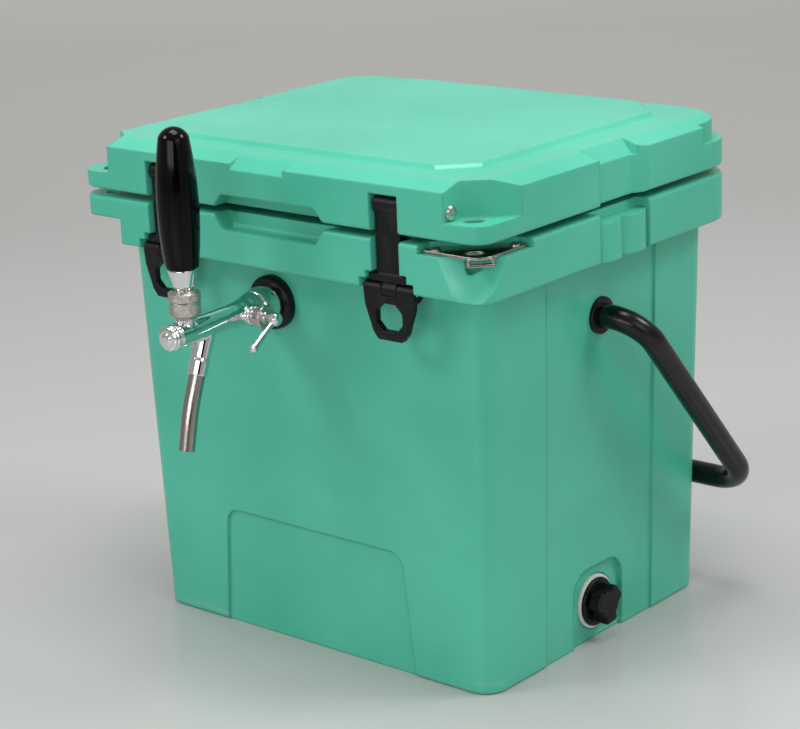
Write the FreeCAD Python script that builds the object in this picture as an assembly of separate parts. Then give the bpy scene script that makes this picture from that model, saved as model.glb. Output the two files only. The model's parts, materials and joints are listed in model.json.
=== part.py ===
import FreeCAD, Part
import math
import os

# Insulated cooler with a beer tap. Millimetres, +Z up, origin at the centre of the base.
# The front, with the tap, faces -Y. The right side, with the drain, faces +X.
vector = FreeCAD.Vector
x_axis = vector(1, 0, 0)
y_axis = vector(0, 1, 0)
z_axis = vector(0, 0, 1)

# Body
base_width = 367.7
base_depth = 301.2
body_width = 384.5
body_depth = 311.3
body_corner_radius = 20.5
base_edge_radius = 3.0
rim_bottom = 335.6
side_panel_half = 76.0
side_panel_depth = 2.0
front_panel_top = 105.6
front_panel_half_top = 97.0
front_panel_half_base = 106.0
front_panel_depth = 2.5
front_panel_radius = 14.0

# Rim
rim_width = 430.0
rim_depth = 352.2
rim_height = 40.0
rim_overhang_front = 28.25
rim_front_radius = 17.0
rim_back_radius = 38.0
rim_edge_radius = 3.0

# Walls
skin = 4.0
wall = 37.0
floor_level = 26.0
cavity_radius = 26.0
sump_bottom = 11.5
sump_half_width = 25.0
sump_reach = 16.0

# Lid
lid_gap = 5.8
lid_side_height = 37.0
lid_bevel_width = 18.0
lid_bevel_height = 5.6
lid_edge_radius = 3.0
panel_height = 3.0
panel_slope = 3.0
panel_half_width = 165.0
panel_front = 142.0
panel_back = 154.0
panel_front_cut = 26.0
panel_back_cut = 38.0
plug_depth = 18.0
plug_clearance = 4.0
gasket_width = 13.0
gasket_groove = 4.0
gasket_margin = 3.0

# Corner notches in the lid, padlock holes and the steel corner plate
notch_wall_x = 179.0
notch_wall_y = 163.0
notch_side_y = 134.0
notch_floor = 14.5
back_notch_y = 114.0
back_notch_depth = 6.0
back_notch_floor = 22.5
padlock_x = 194.5
padlock_y = 167.0
padlock_radius = 5.0
padlock_stretch = 6.0
plate_level = 369.0
plate_thickness = 2.5
plate_inset = 4.5
plate_span = 57.0
plate_corner_radius = 13.0
plate_clearance = 1.0
right_cut_top_front = 43.0
right_cut_top_side = 33.0
right_cut_base_front = 28.0
right_cut_base_side = 4.0
left_cut_front = 46.0
left_cut_side = 54.0
flange_underside = 358.0
opener_width = 24.0
opener_drop = 4.6
opener_thickness = 2.0
plate_screw_radius = 4.2
plate_screw_height = 2.0

# Latches
latch_x = 120.5
slot_half_width = 14.0
slot_depth = 20.9
slot_top = 411.0
slot_step_one_half = 20.5
slot_step_one_top = 350.0
slot_step_two_half = 27.0
slot_step_two_top = 344.0
latch_pin_y = 175.3
latch_pin_z = 401.9
latch_pin_radius = 3.0
latch_pin_head_radius = 6.0
latch_pin_head_height = 3.2
latch_pin_end_x = 98.0
strap_half_width = 12.0
strap_thickness = 8.0
strap_eye_radius = 7.4
strap_shoulder_half = 19.4
strap_shoulder_height = 6.0
latch_rise_gap = 2.2
knuckle_radius = 7.0
knuckle_half_width = 7.5
tab_half_top = 24.8
tab_half_base = 14.5
tab_thickness = 7.0
tab_length = 38.7
tab_hole_half_width = 13.2
tab_hole_height = 22.0
tab_hole_from_end = 7.2
part_gap = 0.3

# Hand holds
grab_half_width = 59.0
grab_slope = 9.0
grab_lid_height = 11.0
grab_rim_depth = 13.0
grab_reach = 15.0
grab_corner_radius = 5.0
side_hold_half = 34.0
lid_hold_inset = 8.0
rim_hold_inset = 4.0
rim_hold_ledge = 12.0
rib_top = 368.0
rib_proud = 2.6
bevel_notch_half = 29.0
bevel_notch_x = -10.0
bevel_notch_depth = 15.0

# Lid hinge
hinge_y = 158.0
hinge_z = 366.0
hinge_rod_radius = 4.0
hinge_running_gap = 0.05
hinge_lug_radius = 9.0
hinge_lug_x = 108.0
hinge_lug_half_width = 32.0
hinge_pocket_gap = 1.5
hinge_rod_half_length = 160.0
hinge_plug_radius = 7.0
hinge_plug_length = 6.0
hinge_plug_x = 199.0

# Carry handle
bail_tube_radius = 10.0
bail_tube_wall = 1.5
bail_pivot_z = 283.0
bail_arm_x = 228.0
bail_drop_angle = 48.6
bail_bar_y = 163.3
bail_elbow_radius = 30.0
bail_corner_radius = 34.0
bail_end_x = 169.0
bush_radius = 13.5
bush_flange_radius = 15.5
bush_flange_thickness = 3.5
bush_running_gap = 0.1
bush_depth = 24.0

# Drain
drain_y = -1.0
drain_z = 32.4
drain_recess_half = 35.0
drain_recess_top = 66.4
drain_recess_radius = 20.0
drain_recess_depth = 4.0
drain_tube_radius = 12.0
drain_bore_radius = 8.0
drain_hole_gap = 0.5
drain_tube_end_x = 136.0
drain_pocket_radius = 24.6
drain_pocket_depth = 1.5
drain_seal_radius = 23.2
drain_seal_thickness = 3.0
drain_flange_radius = 21.0
drain_flange_thickness = 3.2
drain_nut_radius = 19.0
drain_nut_thickness = 8.0
drain_cap_radius = 12.0
drain_cap_height = 11.0
drain_cap_lobes = 3
drain_cap_lobe_reach = 16.6
drain_cap_lobe_width = 15.0
drain_cap_first_lobe = 36.0
drain_spigot_radius = 7.4
drain_spigot_length = 12.0
drain_ring_radius = 10.5
drain_ring_thickness = 1.5

# Tap, square to the sloping front wall
tap_x = -24.0
tap_z = 300.7
tap_flange_radius = 22.5
tap_flange_front = 163.0
shank_radius = 11.0
shank_bore_radius = 5.0
shank_front = 178.0
shank_inner_end = 92.0
shank_nut_radius = 18.0
shank_nut_thickness = 8.0
shank_washer_radius = 19.0
shank_washer_thickness = 2.0
tail_barb_radius = 4.6
tail_bore_radius = 3.0
tail_barb_length = 26.0
tail_flange_radius = 9.0
tail_flange_thickness = 3.0
tail_nut_radius = 14.0
tail_nut_thickness = 12.0
collar_radius = 16.5
collar_length = 17.0
lever_y = 256.5
faucet_back_radius = 10.0
faucet_lip_radius = 10.7
faucet_lip_length = 1.2
faucet_neck_length = 2.3
faucet_nose = 272.0
nose_cap_end = 280.6
faucet_bore_radius = 6.8
faucet_throat_radius = 5.0
valve_seat_y = 216.0
bonnet_base_z = 312.6
bonnet_radius = 12.4
bonnet_top_radius = 11.8
bonnet_height = 14.2
ball_radius = 6.2
ball_z = 316.6
ball_gap = 0.15
lever_cup_radius = 16.0
lever_swing = 28.0
lever_stem_radius = 3.0
lever_tip_radius = 2.2
lever_tip_reach = 16.0
lever_stem_top = 358.0
ring_bottom_z = 326.9
ring_radius = 12.8
ring_height = 9.0
ferrule_base_radius = 7.2
ferrule_top_radius = 12.0
ferrule_height = 17.0
handle_base_radius = 13.0
handle_full_radius = 16.4
handle_top_radius = 12.0
handle_height = 111.2
handle_full_height = 42.0
handle_crown = 8.0
valve_shaft_radius = 4.2
valve_stem_radius = 2.6
valve_seal_radius = 6.0
valve_seal_thickness = 4.0
flow_y = 194.0
flow_boss_radius = 9.0
flow_boss_start_x = -9.0
flow_boss_end_x = 5.0
flow_shaft_radius = 3.0
flow_hub_radius = 5.5
flow_rod_radius = 2.2
flow_rod_tip_radius = 3.4
flow_rod_length = 35.0
flow_rod_angle = 33.0
flow_pin_offset = 1.2
flow_pin_radius = 1.2
socket_y = 234.3
socket_radius = 8.2
socket_length = 40.1
socket_tube_depth = 20.0
spout_tube_radius = 6.7
spout_tube_wall = 0.8
spout_first_tilt = 22.0
spout_last_tilt = 13.5
spout_run = 28.0

# Cooling coil and the hoses inside
coil_tube_radius = 3.97
coil_tube_wall = 0.9
coil_mean_radius = 100.0
coil_turns = 24
coil_pitch = 9.6
coil_base_z = 42.0
coil_turn_in_radius = 45.0
coil_turn_in_angle = 75.0
coil_riser_bend = 25.0
coil_riser_top = 274.0
coil_lift_radius = 30.0
coil_lift_angle = 20.0
coil_lift_run = 18.0
hose_radius = 5.55
hose_bore_radius = 4.0
hose_lap = 14.0
hose_bend = 36.0
clamp_width = 7.0
clamp_thickness = 1.4
inlet_z = 322.0
inlet_flange_radius = 11.5
inlet_flange_thickness = 4.0
inlet_body_radius = 8.0
inlet_outer_length = 22.0
inlet_inner_end = 88.0
inlet_nut_radius = 13.0
inlet_nut_thickness = 7.0
stand_ring_width = 16.0
stand_ring_thickness = 4.0
stand_post_radius = 3.0
stand_post_gap = 1.5
stand_post_angles = (60.0, 150.0, 240.0)

# Places worked out from the sizes above
rim_top = rim_bottom + rim_height
rim_front = body_depth / 2 + rim_overhang_front
rim_back = rim_depth - rim_front
rim_half = rim_width / 2
lid_bottom = rim_top + lid_gap
lid_side_top = lid_bottom + lid_side_height
lid_top = lid_side_top + lid_bevel_height
reach = 60.0


def body_half_width(z):
    return (base_width + (body_width - base_width) * z / rim_bottom) / 2


def body_half_depth(z):
    return (base_depth + (body_depth - base_depth) * z / rim_bottom) / 2


def outline(half_width, front, back, front_radius, back_radius, z):
    """A rectangle with rounded corners, at one height; front and back are distances from Y = 0."""
    turns = ((half_width, -front, front_radius), (half_width, back, back_radius),
             (-half_width, back, back_radius), (-half_width, -front, front_radius))
    edges = []
    starts = []
    ends = []
    middles = []
    directions = ((1, 0), (0, 1), (-1, 0), (0, -1))
    for turn, (x, y, radius) in enumerate(turns):
        before = directions[turn]
        after = directions[(turn + 1) % 4]
        starts.append(vector(x - radius * before[0], y - radius * before[1], z))
        ends.append(vector(x + radius * after[0], y + radius * after[1], z))
        centre = vector(x - radius * before[0] + radius * after[0],
                        y - radius * before[1] + radius * after[1], z)
        outward = vector(before[0] - after[0], before[1] - after[1], 0).normalize()
        middles.append(centre + outward * radius)
    for turn in range(4):
        edges.append(Part.Arc(starts[turn], middles[turn], ends[turn]).toShape())
        edges.append(Part.LineSegment(ends[turn], starts[(turn + 1) % 4]).toShape())
    return Part.Wire(edges)


def prism(wire, height, direction=z_axis):
    return Part.Face(wire).extrude(direction * height)


def polygon(points):
    return Part.makePolygon(list(points) + [points[0]])


def block(low, high):
    size = vector(*high) - vector(*low)
    return Part.makeBox(size.x, size.y, size.z, vector(*low))


def cylinder(radius, start, direction, length):
    return Part.makeCylinder(radius, length, start, direction)


def tube(outer, inner, start, direction, length):
    return cylinder(outer, start, direction, length).cut(cylinder(inner, start, direction, length))


def turned(points, centre, direction):
    """A solid of revolution: points are (distance along the axis, radius), closed to the axis."""
    profile = [vector(points[0][0], 0, 0)] + [vector(a, r, 0) for a, r in points]
    profile.append(vector(points[-1][0], 0, 0))
    solid = Part.Face(polygon(profile)).revolve(vector(0, 0, 0), x_axis, 360)
    turn = FreeCAD.Rotation(x_axis, direction)
    solid.Placement = FreeCAD.Placement(centre, turn)
    return solid


def hexagon(across_radius, start, direction, length):
    points = [vector(across_radius * math.cos(math.radians(60 * k)),
                     across_radius * math.sin(math.radians(60 * k)), 0) for k in range(6)]
    solid = prism(polygon(points), length)
    solid.Placement = FreeCAD.Placement(start, FreeCAD.Rotation(z_axis, direction))
    return solid


def mirrored(shape):
    return shape.mirror(vector(0, 0, 0), x_axis)


def both_sides(shape):
    return [shape, mirrored(shape)]


def joined(shapes):
    whole = shapes[0]
    for shape in shapes[1:]:
        whole = whole.fuse(shape)
    return whole.removeSplitter()


def cut_all(shape, cutters):
    for cutter in cutters:
        shape = shape.cut(cutter)
    return shape


def routed_wire(points, radii):
    """Straight runs joined by tangent arcs, one radius for each inner point."""
    edges = []
    here = points[0]
    for k in range(1, len(points) - 1):
        before = (points[k] - points[k - 1]).normalize()
        after = (points[k + 1] - points[k]).normalize()
        turn = before.getAngle(after)
        setback = radii[k - 1] * math.tan(turn / 2)
        start = points[k] - before * setback
        end = points[k] + after * setback
        inward = (after - before).normalize()
        middle = points[k] + inward * (radii[k - 1] / math.cos(turn / 2) - radii[k - 1])
        edges.append(Part.LineSegment(here, start).toShape())
        edges.append(Part.Arc(start, middle, end).toShape())
        here = end
    edges.append(Part.LineSegment(here, points[-1]).toShape())
    return Part.Wire(edges)


def swept(wire, radius):
    start = wire.OrderedVertexes[0].Point
    first = wire.OrderedEdges[0]
    direction = first.tangentAt(first.FirstParameter)
    if first.valueAt(first.FirstParameter).distanceToPoint(start) > 0.001:
        direction = first.tangentAt(first.LastParameter) * -1
    ring = Part.Wire(Part.makeCircle(radius, start, direction))
    shell = Part.BRepOffsetAPI.MakePipeShell(wire)
    shell.add(ring)
    shell.build()
    shell.makeSolid()
    return shell.shape()


def hollow_sweep(wire, outer, inner):
    return swept(wire, outer).cut(swept(wire, inner))


def save(name, shapes):
    """Write one sub-part; a list is a group of separate solids."""
    if isinstance(shapes, list):
        solids = [solid for shape in shapes for solid in shape.Solids]
        shape = Part.makeCompound(solids)
    else:
        shape = shapes
        if len(shape.Solids) == 1:
            shape = shape.Solids[0]
    shape.exportStep("parts/" + name + ".step")
    print(name, len(shape.Solids), shape.isValid(), round(shape.Volume / 1000, 2))


def body_outside():
    lower = outline(base_width / 2, base_depth / 2, base_depth / 2,
                    body_corner_radius, body_corner_radius, 0)
    upper = outline(body_width / 2, body_depth / 2, body_depth / 2,
                    body_corner_radius, body_corner_radius, rim_bottom)
    solid = Part.makeLoft([lower, upper], True, True)
    bottom = [edge for edge in solid.Edges if edge.BoundBox.ZMax < 0.001]
    return solid.makeFillet(base_edge_radius, bottom)


def rim_outside():
    wire = outline(rim_half, rim_front, rim_back, rim_front_radius, rim_back_radius, rim_bottom)
    solid = prism(wire, rim_height)
    edges = [edge for edge in solid.Edges if edge.BoundBox.ZLength < 0.001]
    return solid.makeFillet(rim_edge_radius, edges)


def inner_outline(z, inset, radius):
    half_width = body_half_width(z) - inset
    half_depth = body_half_depth(z) - inset
    return outline(half_width, half_depth, half_depth, radius, radius, z)


def cavity(grow):
    lower = inner_outline(floor_level - grow, wall - grow, cavity_radius + grow)
    upper = inner_outline(rim_top + 1, wall - grow, cavity_radius + grow)
    sump_wall = body_half_width(floor_level) - wall
    sump = block((sump_wall - sump_reach - grow, drain_y - sump_half_width - grow, sump_bottom - grow),
                 (sump_wall + grow, drain_y + sump_half_width + grow, floor_level + 30))
    return Part.makeLoft([lower, upper], True, True).fuse(sump)


def side_panel_cut(grow):
    """A shallow panel down each side wall, following the wall's draft."""
    depth = side_panel_depth + grow
    low = -reach
    points = [vector(body_half_width(low) - depth, 0, low),
              vector(body_half_width(low) + reach, 0, low),
              vector(body_half_width(rim_bottom) + reach, 0, rim_bottom + grow),
              vector(body_half_width(rim_bottom) - depth, 0, rim_bottom + grow)]
    wire = polygon(points)
    wire.translate(vector(0, -side_panel_half - grow, 0))
    return prism(wire, 2 * (side_panel_half + grow), y_axis)


def front_panel_cut():
    """The lower front panel: a low trapezium with rounded upper corners."""
    top = front_panel_top
    half = front_panel_half_top
    base = front_panel_half_base
    radius = front_panel_radius
    start = body_half_depth(0) + reach
    wire = polygon([vector(-base, -start, -1), vector(base, -start, -1),
                    vector(half, -start, top), vector(-half, -start, top)])
    solid = prism(wire, 2 * reach, y_axis)
    corners = [edge for edge in solid.Edges
               if edge.BoundBox.ZMin > top - 0.01 and edge.BoundBox.YLength > reach]
    solid = solid.makeFillet(radius, corners)
    depth = front_panel_depth
    low = -5
    behind = polygon([vector(0, -body_half_depth(low) + depth, low),
                      vector(0, -body_half_depth(low) - reach - 10, low),
                      vector(0, -body_half_depth(top) - reach - 10, top + 5),
                      vector(0, -body_half_depth(top + 5) + depth, top + 5)])
    behind.translate(vector(-base - 1, 0, 0))
    return solid.common(prism(behind, 2 * base + 2, x_axis))


def drain_recess_cut(grow):
    """An arch-topped recess, open at the base, round the drain."""
    half = drain_recess_half + grow
    top = drain_recess_top + grow
    start = body_half_width(drain_z) - side_panel_depth - drain_recess_depth - grow
    wire = polygon([vector(start, drain_y - half, -1), vector(start, drain_y + half, -1),
                    vector(start, drain_y + half, top), vector(start, drain_y - half, top)])
    solid = prism(wire, reach, x_axis)
    corners = [edge for edge in solid.Edges
               if edge.BoundBox.ZMin > top - 0.01 and edge.BoundBox.XLength > reach / 2]
    return solid.makeFillet(drain_recess_radius, corners)


def rim_slot_cut(side, grow):
    """The stepped slot that the latch strap and its shoulders sit in."""
    back = -rim_front + slot_depth + grow
    front = -rim_front - reach
    cutters = []
    for half, top in ((slot_half_width, rim_top + 1), (slot_step_one_half, slot_step_one_top),
                      (slot_step_two_half, slot_step_two_top)):
        cutters.append(block((side * latch_x - half - grow, front, rim_bottom - 1 - grow),
                             (side * latch_x + half + grow, back, top + grow)))
    return cutters


def corner_cut(side, grow):
    """The room cut under the front corner: slanted under the plate, upright under the other corner."""
    if side > 0:
        top = plate_level
        sizes = ((rim_bottom - 1 - grow, right_cut_base_front + grow, right_cut_base_side + grow),
                 (top + grow, right_cut_top_front + grow, right_cut_top_side + grow))
    else:
        top = flange_underside
        sizes = ((rim_bottom - 1 - grow, left_cut_front + grow, left_cut_side + grow),
                 (top + grow, left_cut_front + grow, left_cut_side + grow))
    sections = []
    for z, front, beside in sizes:
        sections.append(polygon([vector(side * (rim_half - front), -rim_front, z),
                                 vector(side * (rim_half - front), -rim_front - reach, z),
                                 vector(side * (rim_half + reach), -rim_front - reach, z),
                                 vector(side * (rim_half + reach), -rim_front + beside, z),
                                 vector(side * rim_half, -rim_front + beside, z)]))
    return Part.makeLoft(sections, True, True)


def plate_outline(z):
    """The corner plate seen from above: two straight outer edges, a round corner, a slanted back."""
    outer_x = rim_half - plate_inset
    outer_y = -rim_front + plate_inset
    radius = plate_corner_radius
    far = plate_span
    a = vector(outer_x - far, outer_y, z)
    b = vector(outer_x - radius, outer_y, z)
    middle = vector(outer_x - radius * (1 - math.sqrt(0.5)), outer_y + radius * (1 - math.sqrt(0.5)), z)
    c = vector(outer_x, outer_y + radius, z)
    d = vector(outer_x, outer_y + far, z)
    e = vector(outer_x - 10, outer_y + far, z)
    f = vector(outer_x - far, outer_y + 10, z)
    edges = [Part.LineSegment(a, b).toShape(), Part.Arc(b, middle, c).toShape(),
             Part.LineSegment(c, d).toShape(), Part.LineSegment(d, e).toShape(),
             Part.LineSegment(e, f).toShape(), Part.LineSegment(f, a).toShape()]
    return Part.Wire(edges)


def plate_recess(grow):
    """The step in the rim that the plate lies on, open to the outside round the corner."""
    gap = plate_clearance + grow
    outer_x = rim_half - plate_inset
    outer_y = -rim_front + plate_inset
    far = plate_span + gap
    back = 10 + (math.sqrt(2) - 1) * gap
    z = plate_level - grow
    wire = polygon([vector(outer_x - far, -rim_front - reach, z), vector(rim_half + reach, -rim_front - reach, z),
                    vector(rim_half + reach, outer_y + far, z), vector(outer_x - back, outer_y + far, z),
                    vector(outer_x - far, outer_y + back, z)])
    return prism(wire, reach)


def grab_cut(base_z, height, grow):
    """A finger recess in the front edge, narrowing away from the gap; height may point down."""
    half = grab_half_width + grow
    far = half - grab_slope
    start = -rim_front - reach
    wire = polygon([vector(-half, start, base_z), vector(half, start, base_z),
                    vector(far, start, base_z + height), vector(-far, start, base_z + height)])
    solid = prism(wire, reach + grab_reach + grow, y_axis)
    inner = [edge for edge in solid.Edges
             if abs(edge.CenterOfMass.z - base_z - height) < 0.01 and edge.BoundBox.YLength > reach]
    inner += [edge for edge in solid.Edges
              if abs(edge.CenterOfMass.z - base_z - height) < 0.01 and edge.BoundBox.YLength < 0.01
              and edge.CenterOfMass.y > start + reach]
    return solid.makeFillet(grab_corner_radius, inner)


def rim_hold_cut(grow):
    """The side hand hold of the rim: a lowered ledge behind two upright ribs."""
    half = side_hold_half + grow
    face = block((rim_half - rim_hold_inset - grow, -half, rim_bottom - 1 - grow),
                 (rim_half + reach, half, rim_top + 1))
    ledge = block((rim_half - rim_hold_ledge - grow, -half, rib_top - grow),
                  (rim_half + reach, half, rim_top + 1))
    return face.fuse(ledge)


def rim_ribs():
    """Two half-round upright ribs, with a valley between them where the handle's arm stands."""
    chord = side_hold_half
    sagitta = rim_hold_inset + rib_proud
    base_x = rim_half - rim_hold_inset
    ribs = []
    for side in (-1, 1):
        a = vector(base_x, 0, rim_bottom)
        b = vector(base_x + sagitta, side * chord / 2, rim_bottom)
        c = vector(base_x, side * chord, rim_bottom)
        d = vector(base_x - rim_hold_inset, side * chord, rim_bottom)
        e = vector(base_x - rim_hold_inset, 0, rim_bottom)
        edges = [Part.Arc(a, b, c).toShape(), Part.LineSegment(c, d).toShape(),
                 Part.LineSegment(d, e).toShape(), Part.LineSegment(e, a).toShape()]
        ribs.append(prism(Part.Wire(edges), rib_top - rim_bottom))
    return ribs


def hinge_pockets(grow):
    cutters = []
    for side in (-1, 1):
        middle = side * hinge_lug_x
        half = hinge_lug_half_width + hinge_pocket_gap + grow
        front = hinge_y - hinge_lug_radius - hinge_pocket_gap - grow
        bottom = hinge_z - hinge_lug_radius - 2 * hinge_pocket_gap - grow
        cutters.append(block((middle - half, front, bottom), (middle + half, rim_back + reach, rim_top + 1)))
    return cutters


def hinge_bore(radius):
    start = vector(-hinge_plug_x, hinge_y, hinge_z)
    return cylinder(radius, start, x_axis, hinge_plug_x + hinge_rod_half_length + 0.5)


def hinge_plug_cut(radius):
    return cylinder(radius, vector(-hinge_plug_x, hinge_y, hinge_z), x_axis * -1, reach)


def bail_socket(grow):
    start = vector(bail_end_x - 4 - grow, 0, bail_pivot_z)
    return cylinder(bush_radius + grow, start, x_axis, reach + grow)


def drain_pocket(grow):
    start = vector(drain_face() - grow, drain_y, drain_z)
    return cylinder(drain_pocket_radius + grow, start, x_axis, reach)


def drain_hole(grow):
    start = vector(body_half_width(drain_z) - wall - 30, drain_y, drain_z)
    return cylinder(drain_tube_radius + drain_hole_gap + grow, start, x_axis, wall + 60)


def shank_hole(grow):
    start = vector(tap_x, -rim_front, tap_z)
    return tilted(cylinder(shank_radius + drain_hole_gap + grow, start, y_axis, rim_front - 60))


def inlet_hole(grow):
    start = vector(inlet_x(), 60, inlet_z)
    return cylinder(inlet_body_radius + drain_hole_gap + grow, start, y_axis, rim_back)


def padlock_hole(side, grow, bottom, height):
    """An oblong hole, set along the slanted corner."""
    radius = padlock_radius + grow
    centre = vector(side * padlock_x, -padlock_y, bottom)
    along = vector(side, 1, 0).normalize() * (padlock_stretch / 2)
    across = vector(side, -1, 0).normalize() * radius
    wire = polygon([centre + along + across, centre + along - across,
                    centre - along - across, centre - along + across])
    return joined([prism(wire, height), cylinder(radius, centre + along, z_axis, height),
                   cylinder(radius, centre - along, z_axis, height)])


def cooler_solid():
    """Body and rim as moulded, before the insulation space is taken out."""
    solid = body_outside()
    for side_cut in both_sides(side_panel_cut(0)):
        solid = solid.cut(side_cut)
    solid = cut_all(solid, [front_panel_cut(), drain_recess_cut(0), drain_pocket(0)])
    rim = rim_outside()
    rim = cut_all(rim, both_sides(rim_hold_cut(0)))
    solid = solid.fuse(rim)
    for rib in rim_ribs():
        solid = solid.fuse(rib)
        solid = solid.fuse(mirrored(rib))
    solid = solid.cut(cavity(0))
    for side in (-1, 1):
        solid = cut_all(solid, rim_slot_cut(side, 0))
    solid = solid.cut(plate_recess(0))
    for side in (-1, 1):
        solid = cut_all(solid, [corner_cut(side, 0), padlock_hole(side, 0, rim_bottom - 1, rim_height + 2)])
    solid = solid.cut(grab_cut(rim_top, -grab_rim_depth, 0))
    solid = cut_all(solid, hinge_pockets(0))
    solid = cut_all(solid, [hinge_bore(hinge_rod_radius + hinge_running_gap), hinge_plug_cut(hinge_plug_radius)])
    solid = cut_all(solid, both_sides(bail_socket(0)))
    solid = cut_all(solid, [drain_hole(0), shank_hole(0), inlet_hole(0)])
    return solid.removeSplitter()


def body_foam():
    """The insulation between the two skins of the body and rim."""
    lower = inner_outline(skin, skin, body_corner_radius - skin)
    upper = inner_outline(rim_bottom + 10, skin, body_corner_radius - skin)
    foam = Part.makeLoft([lower, upper], True, True)
    rim = prism(outline(rim_half - 2 * skin, rim_front - 2 * skin, hinge_y - 5 * skin, rim_front_radius,
                        rim_back_radius - skin, rim_bottom + skin), rim_height - 2 * skin)
    foam = foam.fuse(rim)
    foam = foam.cut(cavity(skin))
    for side in (-1, 1):
        foam = cut_all(foam, rim_slot_cut(side, skin))
        foam = foam.cut(corner_cut(side, skin))
        foam = foam.cut(padlock_hole(side, skin, 0, rim_top))
    foam = foam.cut(plate_recess(skin))
    foam = foam.cut(grab_cut(rim_top, -grab_rim_depth - skin, skin))
    foam = cut_all(foam, both_sides(rim_hold_cut(skin)))
    foam = cut_all(foam, both_sides(bail_socket(skin)))
    foam = cut_all(foam, [drain_hole(skin), shank_hole(skin), inlet_hole(skin), drain_recess_cut(skin),
                          drain_pocket(skin)])
    biggest = max(foam.Solids, key=lambda piece: piece.Volume)
    return biggest


def lid_outside():
    """Side wall, a wide bevel all round, and the raised top panel with cut corners."""
    wire = outline(rim_half, rim_front, rim_back, rim_front_radius, rim_back_radius, lid_bottom)
    solid = prism(wire, lid_side_height)
    bottom = [edge for edge in solid.Edges if edge.BoundBox.ZMax < lid_bottom + 0.001]
    solid = solid.makeFillet(lid_edge_radius, bottom)
    lower = outline(rim_half, rim_front, rim_back, rim_front_radius, rim_back_radius, lid_side_top)
    inset = lid_bevel_width
    upper = outline(rim_half - inset, rim_front - inset, rim_back - inset / 2, rim_front_radius - inset / 2,
                    rim_back_radius - inset / 2, lid_top)
    bevel = Part.makeLoft([lower, upper], True, True)
    panel = Part.makeLoft([panel_wire(0, lid_top), panel_wire(panel_slope, lid_top + panel_height)],
                          True, True)
    return joined([solid, bevel, panel])


def panel_wire(inset, z):
    half = panel_half_width - inset
    front = -panel_front + inset
    back = panel_back - inset
    front_cut = panel_front_cut
    back_cut = panel_back_cut
    return polygon([vector(half - front_cut, front, z), vector(half, front + front_cut, z),
                    vector(half, back - back_cut, z), vector(half - back_cut, back, z),
                    vector(back_cut - half, back, z), vector(-half, back - back_cut, z),
                    vector(-half, front + front_cut, z), vector(front_cut - half, front, z)])


def corner_notch(side, grow):
    """The notch in the lid's front corner, over the padlock hole."""
    floor = lid_bottom + notch_floor - grow
    wall_x = notch_wall_x - grow
    wire = polygon([vector(side * wall_x, -rim_front - reach, floor),
                    vector(side * wall_x, -notch_wall_y + grow, floor),
                    vector(side * rim_half, -notch_side_y + grow, floor),
                    vector(side * (rim_half + reach), -notch_side_y + grow, floor),
                    vector(side * (rim_half + reach), -rim_front - reach, floor)])
    solid = prism(wire, reach)
    upright = [edge for edge in solid.Edges
               if edge.BoundBox.ZLength > 1 and abs(edge.CenterOfMass.y + notch_wall_y - grow) < 1]
    return solid.makeFillet(4, upright)


def back_notch(side):
    """The shallow step at the lid's back corner."""
    floor = lid_bottom + back_notch_floor
    inner = outline(rim_half - back_notch_depth, rim_front, rim_back - back_notch_depth, rim_front_radius,
                    rim_back_radius, floor)
    zone = block((side * (rim_half + reach), back_notch_y, floor),
                 (side * 120, rim_back + reach, floor + reach)) if side < 0 else \
        block((120, back_notch_y, floor), (rim_half + reach, rim_back + reach, floor + reach))
    return zone.cut(prism(inner, reach))


def lid_slot_cut(side, grow):
    return block((side * latch_x - slot_half_width - grow, -rim_front - reach, lid_bottom - 1 - grow),
                 (side * latch_x + slot_half_width + grow, -rim_front + slot_depth + grow, slot_top + grow))


def lid_hold_cut(grow):
    """The side hand hold of the lid: a flat inset face with a slanted back end and a bevelled top."""
    inner = rim_half - lid_hold_inset - grow
    half = side_hold_half + grow
    wire = polygon([vector(inner, -half, lid_bottom - 1), vector(inner, half - 14, lid_bottom - 1),
                    vector(inner + 3, half - 9, lid_bottom - 1), vector(inner + 8, half, lid_bottom - 1),
                    vector(rim_half + reach, half, lid_bottom - 1),
                    vector(rim_half + reach, -half, lid_bottom - 1)])
    face = prism(wire, reach)
    top = lid_top + 1
    slope = polygon([vector(inner, -half, lid_side_top - 6 - grow), vector(inner - 13, -half, top),
                     vector(inner + reach, -half, top), vector(inner + reach, -half, lid_side_top - 6 - grow)])
    return face.fuse(prism(slope, 2 * half - 9, y_axis))


def bevel_notch_cut():
    """A short, steeper bevel in the middle of the lid's front edge."""
    half = bevel_notch_half
    depth = bevel_notch_depth
    front = -rim_front
    low = lid_side_top - 5
    section = polygon([vector(0, front - 1, low - 0.7), vector(0, front + depth, lid_top),
                       vector(0, front + depth, lid_top + 5), vector(0, front - 5, lid_top + 5),
                       vector(0, front - 5, low - 0.7)])
    section.translate(vector(bevel_notch_x - half, 0, 0))
    solid = prism(section, 2 * half, x_axis)
    ends = []
    for side in (-1, 1):
        x = bevel_notch_x + side * half
        wire = polygon([vector(x, front - 10, low), vector(x - side * 7, front - 10, low - 5),
                        vector(x + side * 20, front - 10, low - 5), vector(x + side * 20, front - 10, lid_top + 10),
                        vector(x + side * 3, front - 10, lid_top + 10)])
        ends.append(prism(wire, 40, y_axis))
    return cut_all(solid, ends)


def hinge_lugs():
    lugs = []
    for side in (-1, 1):
        start = vector(side * hinge_lug_x - hinge_lug_half_width, hinge_y, hinge_z)
        length = 2 * hinge_lug_half_width
        barrel = cylinder(hinge_lug_radius, start, x_axis, length)
        stem = block((start.x, hinge_y - hinge_lug_radius, hinge_z),
                     (start.x + length, hinge_y + hinge_lug_radius, lid_bottom + 1 + lid_edge_radius))
        lugs.append(barrel.fuse(stem))
    return lugs


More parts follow.
